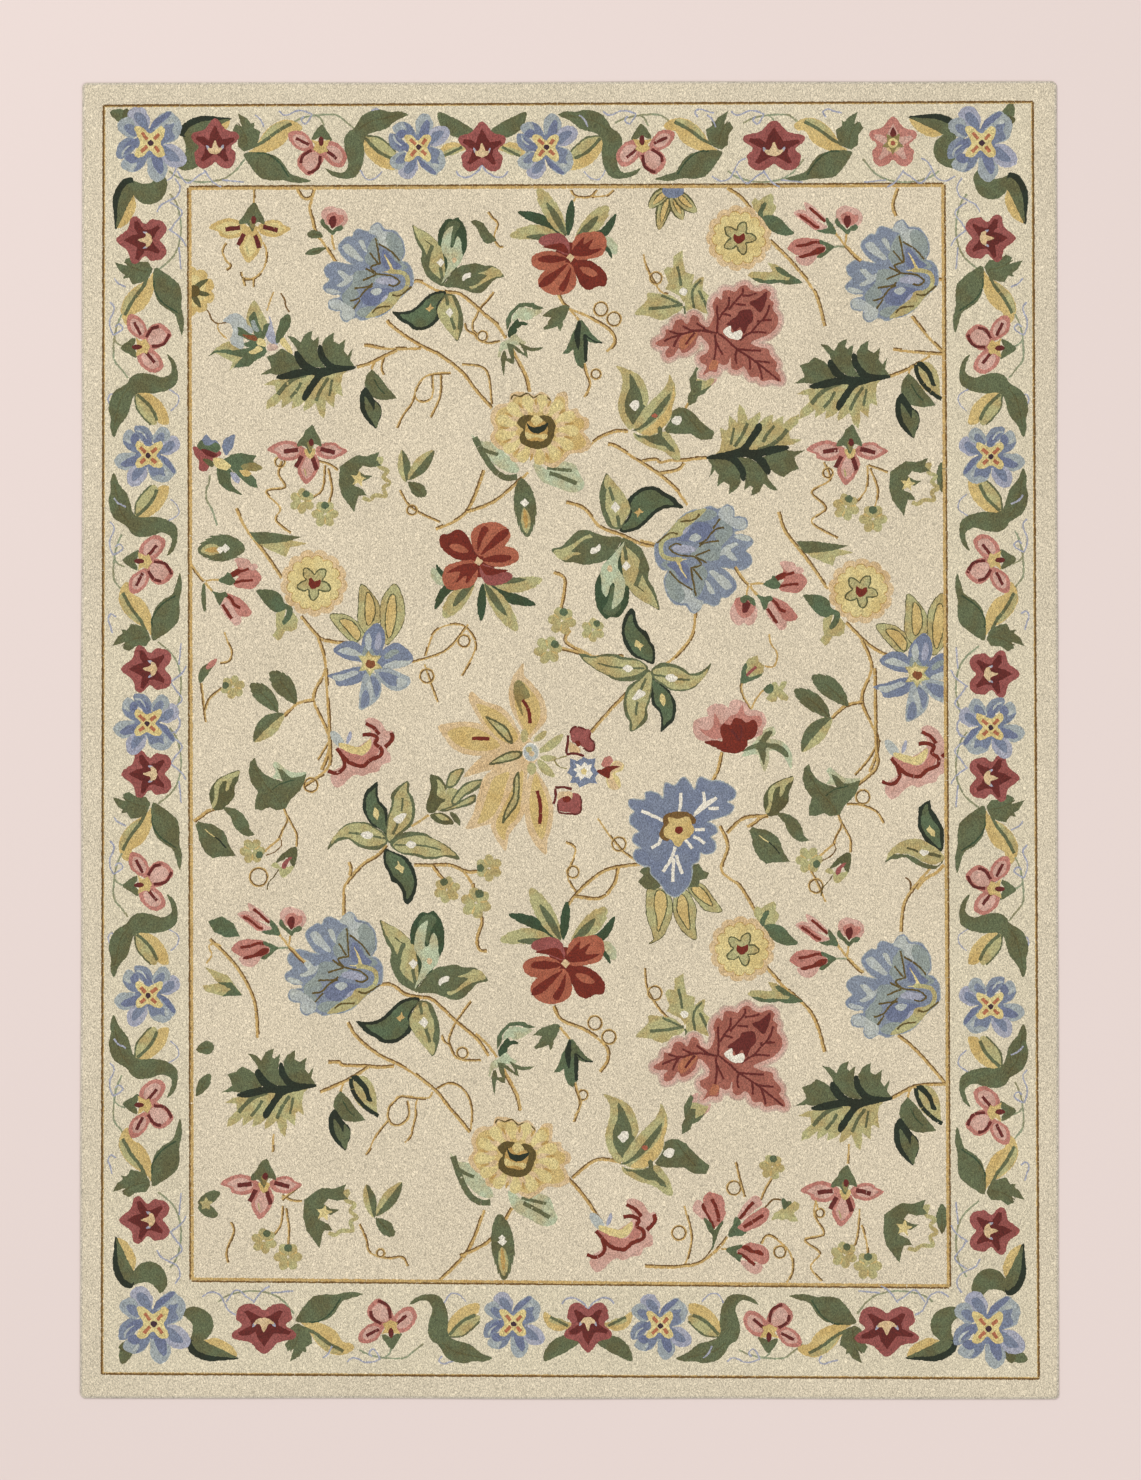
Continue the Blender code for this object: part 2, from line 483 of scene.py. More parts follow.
FAN_VEINS = (
    ((350, 410), (430, 452), (540, 466), (602, 510), (560, 542), (520, 530)), ((330, 500), (380, 478), (430, 458)),
    ((268, 560), (370, 545), (402, 520)), ((235, 652), (300, 632), (350, 572), (402, 540)), ((262, 710), (310, 642)),
    ((458, 378), (446, 300), (424, 188)), ((448, 230), (540, 288), (602, 356)), ((380, 295), (442, 372)),
    ((458, 376), (388, 402), (430, 450)), ((690, 545), (602, 612), (545, 605)), ((530, 690), (440, 702), (400, 740)),
)


def fan_flower(pen):
    """The big blue flower: scalloped petals fan out to the left of its pale green base."""
    pen = pen.draft(700, 512, 7.14)
    pen.halo("pale_blue", FAN_OUTLINE, 0.9)
    pen.blob("fan_blue", *FAN_OUTLINE)
    for yarn, outline in FAN_PATCHES:
        pen.blob(yarn, *outline)
    pen.row("light_green", ((600, 592), (648, 560), (662, 500), (640, 455), (590, 438), (520, 436)), 4.4)
    for vein in FAN_VEINS:
        pen.row("umber", vein, 1.9)


ORANGE_PETALS = (
    # yarn, outline: laid in this order
    ("dark_red", ((160, 200), (200, 175), (240, 200), (245, 240), (205, 262), (160, 245))),
    ("rose", ((192, 210), (155, 196), (118, 182), (113, 168), (135, 154), (165, 150), (188, 160), (200, 190))),
    ("orange", ((206, 212), (208, 175), (225, 153), (250, 148), (282, 146), (300, 163), (302, 187), (290, 212),
                (258, 222), (225, 226))),
    ("orange", ((190, 220), (160, 202), (125, 201), (95, 214), (92, 235), (110, 252), (142, 254), (175, 240))),
    ("orange", ((192, 232), (160, 240), (130, 254), (110, 280), (116, 302), (140, 320), (170, 324), (202, 314),
                (218, 290), (212, 250))),
    ("dark_red", ((210, 232), (250, 226), (282, 243), (303, 270), (300, 297), (277, 300), (255, 310), (233, 300),
                  (218, 270))),
    ("orange", ((228, 246), (256, 248), (278, 266), (262, 272), (238, 262))),
    ("dark_red", ((196, 222), (150, 212), (118, 216), (112, 228), (150, 234))),
    ("dark_red", ((194, 236), (150, 260), (118, 284), (114, 302), (142, 294), (172, 264))),
    ("dark_red", ((202, 246), (184, 280), (168, 304), (182, 314), (198, 285))),
    ("dark_red", ((202, 210), (220, 180), (240, 162), (238, 182), (266, 166), (254, 194), (290, 194), (248, 214))),
    ("dark_red", ((196, 208), (160, 196), (122, 190), (148, 182), (182, 180))),
)
CROWN = (
    # yarn, then base, middle and tip of its spine, width
    ("dark_green", (-6, -22), (-24, -36), (-52, -46), 11), ("light_green", (-8, -20), (-34, -26), (-60, -22), 15),
    ("light_green", (-4, -22), (-18, -46), (-32, -70), 17), ("dark_green", (-2, -22), (0, -40), (2, -58), 9),
    ("light_green", (6, -20), (22, -34), (38, -52), 18), ("dark_green", (12, -18), (34, -26), (46, -44), 9),
    ("mint", (20, -14), (38, -14), (46, -4), 14), ("dark_green", (22, -16), (36, -10), (42, 0), 5),
)


def orange_flower(pen):
    """Five orange petals with dark red parts, under a crown of leaves."""
    for yarn, base, middle, tip, width in CROWN:
        pen.leaf(yarn, (base, middle, tip), width, 0.75, teeth=5, depth=0.1)
        if yarn == "light_green":
            near = (base[0] * 0.3 + tip[0] * 0.7, base[1] * 0.3 + tip[1] * 0.7)
            pen.leaf("green", (base, ((base[0] + near[0]) / 2 + 1, (base[1] + near[1]) / 2), near), width * 0.42, 0.8)
    pen = pen.draft(200, 220, 2.81)
    for yarn, outline in ORANGE_PETALS:
        pen.blob(yarn, *outline)
    pen.sharp("peach", (189, 219), (200, 207), (213, 217), (203, 232))


def rosette(pen):
    pen.scallops("peach", 13, 33, 0.1)
    pen.scallops("ochre", 13, 27.5, 0.14, 0.4)
    pen.scallops("butter", 13, 26.6, 0.16, 0.4)
    petals = []
    for index in range(5):
        angle = 72 * index + 20
        for turn, reach in ((-36, 7.5), (-20, 12.5), (0, 16.5), (14, 12.5)):
            way = math.radians(angle + turn)
            petals.append((reach * math.sin(way), -reach * math.cos(way)))
    pen.halo("moss", petals, 1.5)
    pen.blob("light_green", *petals)
    pen.blob("dark_red", (-5, -4), (0, -2), (5, -5), (6, 1), (0, 6), (-5, 2))


RUFFLES = (
    (190, 215), (245, 203), (300, 212), (335, 226), (385, 203), (432, 236), (452, 272), (480, 216), (530, 204),
    (547, 245), (552, 312), (602, 308), (625, 350), (672, 372), (678, 422), (645, 452), (674, 492), (692, 542),
    (640, 582), (562, 592), (512, 642), (462, 678), (402, 662), (352, 612), (292, 612), (232, 642), (190, 632),
    (168, 582), (100, 552), (58, 492), (82, 432), (60, 380), (72, 318), (112, 282), (172, 270),
)


def ruffled_flower(pen):
    """The big yellow flower with its dark heart."""
    pen = pen.draft(352, 436, 6.25)
    pen.blob("mint", (330, 650), (380, 665), (420, 690), (470, 660), (530, 640), (590, 660), (620, 720), (650, 780),
             (620, 822), (560, 832), (480, 802), (400, 772), (350, 722))
    pen.row("green", ((415, 680), (490, 688), (570, 695)), 3.3)
    pen.row("green", ((430, 710), (520, 742), (600, 775)), 4.4)
    pen.blob("mint", (-60, 470), (0, 512), (60, 515), (130, 568), (200, 628), (242, 690), (200, 712), (120, 682),
             (50, 622), (0, 562))
    pen.row("green", ((-37, 487), (20, 600), (90, 700), (160, 740), (230, 735)), 6.2)
    pen.row("green", ((10, 560), (60, 582), (110, 595)), 3.6)
    pen.blob("peach", *RUFFLES)
    inner = [(352 + (x - 352) * 0.9, 440 + (y - 440) * 0.88) for x, y in RUFFLES]
    pen.blob("yellow", *inner)
    pen.row("umber", ((190, 250), (205, 225), (250, 232), (290, 212), (330, 240), (370, 222), (420, 240), (440, 262)), 1.5)
    for angle in range(8, 368, 28):
        way = np.array((math.sin(math.radians(angle)), -math.cos(math.radians(angle)) * 0.85))
        middle = np.array((352, 440))
        pen.leaf("butter", (middle + way * 130, middle + way * 190, middle + way * 262), 70, 0.5, 1.4)
        turned = np.array((math.sin(math.radians(angle + 14)), -math.cos(math.radians(angle + 14)) * 0.85))
        pen.leaf("peach", (middle + turned * 120, middle + turned * 160, middle + turned * 215), 42, 0.7)
        pen.leaf("ochre", (middle + turned * 175, middle + turned * 235), 16, 0.7)
    pen.blob("umber", (230, 385), (265, 352), (325, 350), (350, 372), (378, 350), (432, 358), (466, 402), (462, 455),
             (440, 522), (392, 556), (318, 556), (252, 522), (246, 470), (266, 440), (236, 412))
    pen.blob("ochre", (292, 392), (345, 380), (405, 392), (420, 440), (400, 505), (345, 510), (290, 500), (278, 440))
    pen.blob("black_green", (283, 388), (310, 418), (350, 424), (395, 408), (422, 398), (405, 440), (355, 464), (308, 446))
    pen.blob("butter", (312, 380), (335, 350), (358, 352), (390, 384), (365, 402), (345, 418), (325, 400))
    pen.blob("butter", (280, 454), (332, 470), (412, 468), (404, 500), (352, 488), (292, 498))


def orchid(pen, petal="light_pink", rim="pink"):
    """Three petals that hang from a green hood."""
    pen = pen.draft(375, 880, 6)
    petals = (
        ((350, 885), (292, 842), (230, 828), (160, 848), (114, 886), (170, 912), (182, 938), (252, 952), (330, 925)),
        ((410, 875), (470, 842), (530, 843), (562, 868), (604, 890), (560, 924), (500, 944), (425, 922)),
        ((350, 890), (308, 972), (298, 1012), (318, 1062), (350, 1096), (392, 1062), (422, 1012), (434, 962), (395, 890)),
    )
    for outline in petals:
        pen.blob(rim, *outline)
        middle = np.mean(outline, axis=0)
        pen.blob(petal, *[middle + (np.array(point) - middle) * 0.66 for point in outline])
    for stripe in (((213, 896), (302, 885)), ((438, 880), (528, 902)), ((325, 922), (288, 992)), ((390, 928), (416, 1008))):
        pen.row("maroon", stripe, 4.6)
    pen.row("light_green", ((340, 1000), (350, 1045)), 1.4)
    pen.blob("yellow", (345, 880), (405, 880), (400, 920), (372, 940), (350, 915))
    pen.blob("green", (390, 735), (412, 772), (442, 830), (444, 864), (402, 852), (376, 910), (342, 862), (298, 866),
             (298, 840), (330, 800), (352, 760))
    pen.blob("olive", (358, 840), (398, 840), (376, 895))
    pen.dot("maroon", 382, 840, 16, 24)


def bud(pen):
    """A long pink bud that opens upwards from its stem end."""
    pen = pen.draft(0, 0, 6)
    pen.blob("light_pink", (-20, -20), (-62, -60), (-70, -120), (-52, -180), (-20, -205), (30, -190), (58, -150), (50, -70), (20, -20))
    pen.blob("rose", (-10, -15), (-20, -70), (-22, -130), (-10, -190), (24, -214), (62, -180), (72, -110), (56, -50), (24, -15))
    pen.blob("light_pink", (-20, -40), (-44, -70), (-46, -120), (-26, -150), (-16, -100))
    pen.blob("pink", (4, -60), (2, -130), (12, -180), (32, -190), (44, -150), (40, -80), (24, -40))
    pen.row("dark_red", ((18, -40), (20, -100), (26, -165)), 3.2)
    pen.blob("green", (0, 30), (-34, -10), (-50, -50), (-14, -22), (10, -40), (30, -20), (66, -42), (40, 0), (12, 28))


def round_bud(pen):
    pen = pen.draft(0, 0, 6)
    pen.blob("light_pink", (-20, -30), (-60, -50), (-66, -100), (-42, -140), (0, -152), (44, -138), (68, -96), (58, -48), (20, -26))
    pen.blob("rose", (0, -16), (-42, -46), (-44, -86), (-10, -110), (0, -126), (14, -108), (46, -84), (44, -44))
    pen.blob("maroon", (0, -18), (-20, -46), (-16, -84), (0, -98), (18, -82), (20, -44))
    pen.blob("green", (0, 32), (-44, 4), (-64, -40), (-26, -20), (0, -4), (26, -20), (66, -38), (44, 4))


def star_flower(pen):
    """A small pale green flower that hangs from its calyx."""
    pen.petals("light_green", 6, 1, 14.5, 9.6, 30, 0.62, 1.25)
    pen.petals("yellow", 3, 3, 11, 1.8, 60, 0.6)
    pen.dot("pine", 0, -9, 4.2, 4)


def sepal(pen, base, tip, width=15):
    pen.leaf("moss", bent(base, tip, 0.05), width, 0.75)
    pen.leaf("light_green", bent(base, tip, 0.05), width * 0.74, 0.75)
    middle = (np.array(base, float) + np.array(tip, float)) / 2
    far = np.array(base, float) + (np.array(tip, float) - np.array(base, float)) * 0.82
    near = np.array(base, float) * 0.7 + middle * 0.3
    pen.leaf("moss", bent(near, far, 0.05), width * 0.5, 0.7)
    pen.leaf("yellow", bent(near, far, 0.05), width * 0.34, 0.7)


def blue_daisy(pen):
    """Six blue petals with three yellow sepals above."""
    pen = pen.draft(235, 445, 6)
    heart_sepal(pen, ((150, 312), (80, 270), (-4, 158), (80, 150), (150, 188), (205, 245)),
                ((158, 300), (100, 240), (56, 182), (120, 188), (172, 250)))
    heart_sepal(pen, ((215, 260), (166, 190), (168, 90), (182, -30), (250, 30), (292, 100), (292, 190)),
                ((225, 210), (208, 140), (218, 22), (252, 60), (262, 150)))
    heart_sepal(pen, ((330, 325), (300, 190), (308, 60), (382, -34), (430, 50), (442, 150), (412, 242)),
                ((345, 285), (330, 180), (352, 50), (382, 36), (390, 140), (372, 240)))
    drawn("daisy_petals")(pen.moved(235, 445).draft(0, 0, 1 / 6))


NOTCHES = (
    (100, 250), (190, 250), (198, 205), (262, 210), (302, 242), (314, 154), (370, 166), (420, 116), (458, 150),
    (490, 190), (520, 118), (580, 138), (640, 138), (702, 168), (732, 202), (722, 240), (680, 260), (722, 292),
    (692, 332), (640, 352), (562, 380), (602, 400), (622, 440), (582, 470), (612, 510), (602, 560), (552, 572),
    (520, 560), (510, 612), (472, 640), (470, 702), (450, 762), (402, 812), (370, 828), (320, 802), (280, 742),
    (230, 692), (224, 650), (180, 642), (128, 602), (134, 552), (172, 540), (120, 500), (130, 458), (160, 440),
    (108, 392), (104, 350), (132, 320), (104, 290),
)
NOTCHED_SEPALS = (
    # outline, then the yellow heart
    (((215, 780), (200, 852), (205, 952), (236, 1042), (242, 1090), (216, 1112), (290, 1072), (330, 1002), (352, 932),
      (346, 842), (302, 790)), ((262, 800), (250, 882), (264, 962), (270, 1034), (300, 962), (320, 882), (310, 810))),
    (((370, 830), (365, 932), (400, 1012), (450, 1066), (498, 1082), (490, 1002), (496, 902), (466, 832), (430, 790)),
     ((402, 820), (386, 902), (410, 962), (456, 1024), (450, 932), (440, 852))),
    (((450, 780), (500, 852), (560, 912), (650, 917), (602, 842), (542, 762), (480, 750)),
     ((470, 780), (520, 842), (592, 882), (550, 802), (500, 765))),
)
NOTCHED_VEINS = (
    ((170, 315), (240, 345), (300, 372)), ((405, 208), (405, 270), (394, 332)), ((620, 235), (560, 285), (490, 330)),
    ((635, 300), (570, 300)), ((540, 200), (548, 260), (525, 300)), ((490, 430), (550, 425)),
    ((480, 470), (515, 485), (550, 512)), ((430, 485), (475, 542)), ((230, 536), (275, 510), (290, 468)),
    ((372, 530), (350, 600), (298, 680)), ((365, 600), (360, 660), (358, 742)), ((378, 580), (395, 640), (416, 692)),
)


def heart_sepal(pen, outline, heart):
    pen.halo("moss", outline, 0.8)
    pen.blob("light_green", *outline)
    pen.halo("moss", heart, 1.2)
    pen.blob("yellow", *heart)


def notched_flower(pen):
    """The broad blue flower with white veins, two side leaves and three sepals below."""
    pen = pen.draft(395, 430, 6)
    for outline, heart in NOTCHED_SEPALS:
        heart_sepal(pen, outline, heart)
    pen.sharp("green", (240, 655), (190, 648), (156, 680), (182, 700), (148, 742), (190, 782), (250, 792), (290, 762), (240, 700))
    pen.sharp("green", (460, 640), (512, 632), (540, 670), (576, 690), (560, 722), (520, 732), (510, 772), (440, 775), (470, 700))
    pen.halo("pale_blue", NOTCHES, 1.2)
    pen.blob("blue", *NOTCHES)
    for vein in NOTCHED_VEINS:
        pen.row("white", vein, 3.2)
    pen.leaf("white", ((610, 240), (540, 290), (480, 348)), 34, 0.7)
    pen.blob("brown", (274, 452), (300, 402), (300, 350), (350, 324), (440, 322), (492, 358), (492, 392), (440, 402),
             (342, 482), (330, 497), (290, 482))
    pen.blob("yellow", (305, 420), (335, 390), (330, 355), (390, 362), (450, 350), (470, 390), (487, 430), (460, 472),
             (430, 490), (400, 528), (370, 522), (350, 490), (308, 465))
    pen.dot("dark_red", 395, 430, 25, 23)


LILY_PETALS = (
    # yarn, outline
    ("peach", ((545, 500), (500, 440), (450, 350), (430, 260), (445, 180), (472, 130), (512, 86), (515, 150),
               (562, 200), (620, 280), (638, 380), (602, 440), (560, 482))),
    ("yellow", ((530, 470), (480, 372), (460, 262), (475, 192), (510, 190), (550, 232), (596, 302), (600, 382), (560, 458))),
    ("olive", ((463, 190), (500, 184), (548, 262), (522, 280), (500, 300), (508, 374), (480, 322), (458, 250))),
    ("peach", ((505, 505), (472, 430), (440, 370), (380, 320), (292, 290), (230, 242), (212, 280), (240, 342),
               (280, 412), (330, 482), (402, 532), (462, 552))),
    ("yellow", ((482, 492), (432, 402), (362, 342), (258, 308), (280, 372), (330, 452), (422, 522))),
    ("moss", ((303, 376), (382, 408), (432, 450), (455, 520), (428, 520), (368, 462))),
    ("light_green", ((318, 392), (380, 420), (420, 456), (442, 508), (430, 506), (376, 452))),
    ("peach", ((470, 570), (350, 478), (282, 420), (200, 404), (120, 410), (46, 430), (80, 492), (130, 552),
               (202, 584), (282, 590), (402, 580))),
    ("yellow", ((382, 528), (282, 452), (182, 432), (98, 462), (140, 522), (222, 558), (322, 562))),
    ("peach", ((548, 560), (420, 536), (330, 568), (262, 612), (185, 702), (250, 690), (330, 668), (420, 650), (540, 640))),
    ("moss", ((320, 638), (380, 590), (450, 563), (505, 568), (492, 602), (440, 622), (380, 634))),
    ("light_green", ((338, 630), (384, 600), (448, 574), (488, 578), (478, 596), (432, 612))),
    ("peach", ((545, 620), (470, 616), (380, 650), (300, 700), (268, 780), (238, 902), (198, 988), (292, 972),
               (352, 952), (402, 902), (432, 802), (472, 702))),
    ("yellow", ((432, 680), (352, 710), (320, 782), (290, 872), (262, 962), (340, 922), (380, 862), (412, 762))),
    ("peach", ((530, 640), (470, 680), (430, 762), (388, 852), (336, 952), (350, 1022), (412, 1108), (432, 1022),
               (472, 972), (512, 912), (524, 802), (532, 702))),
    ("yellow", ((510, 680), (480, 700), (440, 790), (390, 890), (360, 960), (375, 1020), (410, 1050), (420, 990),
                (470, 930), (495, 860))),
    ("moss", ((486, 676), (492, 762), (482, 852), (440, 912), (396, 960), (408, 890), (450, 802), (455, 722))),
    ("light_green", ((478, 700), (482, 770), (470, 848), (434, 900), (412, 930), (420, 890), (462, 802), (466, 732))),
    ("peach", ((560, 660), (530, 742), (514, 852), (525, 962), (560, 1052), (632, 1130), (642, 1052), (668, 962),
               (672, 862), (642, 772), (602, 702))),
    ("yellow", ((576, 690), (550, 782), (545, 882), (570, 982), (612, 1046), (640, 962), (646, 862), (612, 762))),
)


def lily(pen):
    """Seven long pale petals to the left of a small green heart."""
    pen = pen.draft(552, 570, 5.45)
    pen.dot("peach", 500, 580, 90)
    for yarn, outline in LILY_PETALS:
        pen.blob(yarn, *outline)
    for stripe in (((505, 285), (538, 340), (547, 415)), ((230, 495), (325, 498)), ((585, 780), (603, 860), (600, 962))):
        pen.row("dark_red", stripe, 3.6)
    for base, tip, width in (((590, 570), (727, 470), 50), ((600, 600), (692, 600), 36), ((590, 610), (682, 704), 50),
                             ((565, 510), (636, 454), 36)):
        pen.leaf("light_green", bent(base, tip, 0.06), width, 0.7)
    pen.dot("light_green", 516, 482, 22, 36)
    pen.dot("light_green", 556, 662, 26, 34)
    pen.dot("white", 552, 570, 46, 52)
    pen.dot("mist", 552, 572, 40, 46)
    pen.dot("light_green", 540, 556, 18)
    pen.dot("peach", 556, 580, 16)


def peony(pen):
    pen = pen.draft(222, 234, 6)
    pen.blob("mint", (330, 350), (380, 300), (430, 238), (484, 222), (494, 262), (462, 290), (522, 300), (572, 342),
             (594, 402), (588, 470), (560, 422), (520, 372), (462, 362), (458, 422), (432, 484), (408, 442),
             (388, 384), (300, 394))
    pen.blob("green", (330, 340), (390, 315), (430, 260), (460, 243), (478, 256), (442, 312), (502, 320), (552, 350),
             (574, 392), (558, 402), (500, 362), (442, 346), (438, 402), (425, 444), (403, 392), (380, 352), (300, 368))
    pen.blob("light_pink", (110, 305), (38, 292), (10, 240), (18, 188), (70, 163), (100, 160), (92, 118), (130, 88),
             (182, 88), (218, 108), (230, 72), (280, 62), (322, 84), (346, 120), (382, 122), (424, 140), (444, 192),
             (422, 232), (390, 280))
    pen.blob("pink", (48, 234), (100, 242), (130, 210), (136, 142), (158, 170), (175, 205), (205, 185), (225, 160),
             (270, 140), (302, 92), (316, 145), (362, 158), (402, 158), (416, 202), (384, 232), (300, 262), (200, 282), (122, 292))
    pen.blob("dark_red", (76, 312), (130, 298), (182, 304), (170, 242), (188, 203), (230, 210), (250, 172), (290, 172),
             (322, 196), (362, 178), (388, 205), (386, 252), (362, 290), (332, 300), (330, 332), (302, 362),
             (262, 378), (190, 368), (140, 342))
    pen.row("maroon", ((235, 240), (262, 270), (280, 300)), 3)
    pen.row("maroon", ((290, 210), (296, 250), (290, 290)), 2)


def curled_flower(pen):
    """The small pink flower with a curling dark line."""
    pen = pen.draft(180, 1000, 6)
    pen.leaf("mist", ((70, 950), (30, 900), (-10, 850)), 60, 0.6)
    pen.leaf("lavender", ((90, 930), (105, 890), (115, 850)), 26, 0.6)
    pen.blob("light_pink", (205, 790), (240, 762), (302, 788), (342, 848), (378, 846), (390, 892), (345, 960),
             (364, 992), (362, 1042), (312, 1062), (292, 1102), (240, 1112), (190, 1134), (150, 1122), (102, 1152),
             (62, 1192), (20, 1204), (-14, 1150), (8, 1098), (60, 1060), (40, 960), (130, 960), (230, 900), (240, 850))
    pen.blob("butter", (40, 925), (110, 938), (170, 948), (240, 900), (236, 960), (190, 1000), (110, 1000), (60, 980))
    pen.blob("pink", (30, 950), (110, 985), (200, 1002), (245, 950), (262, 900), (296, 962), (262, 1016), (180, 1062),
             (100, 1042), (50, 1002))
    pen.row("dark_red", ((-30, 1100), (10, 1114), (46, 1108), (76, 1070), (62, 1010), (24, 958)), 3.8)
    pen.row("dark_red", ((60, 1000), (110, 1050), (190, 1070), (240, 1032), (305, 1002), (306, 955), (270, 930),
                         (282, 892), (244, 870), (188, 874)), 4.0)
    pen.row("dark_red", ((208, 800), (262, 830), (296, 872)), 3.8)
    pen.row("dark_red", ((372, 856), (376, 902), (330, 952)), 4.2)


def c_leaf(pen):
    """The broad cut leaf with a star, and the lace edge to its right."""
    pen = pen.draft(0, 0, 1)
    pen.row("light_green", ((14, -16), (22, -20), (20, -12), (28, -8), (24, -2), (30, 4), (24, 8), (26, 16), (16, 16), (10, 20), (4, 18)), 4.2)
    pen.sharp("green", (-18, -12), (-10, -18), (-2, -23), (8, -22), (20, -26), (17, -18), (22, -13), (12, -11), (4, -13),
              (0, -8), (6, -4), (14, -3), (6, 2), (-2, 0), (-4, 6), (4, 10), (8, 16), (0, 16), (-2, 22), (-4, 32),
              (-10, 24), (-16, 16), (-19, 4))
    pen.star("butter", 5, 8, 3.6, 10)


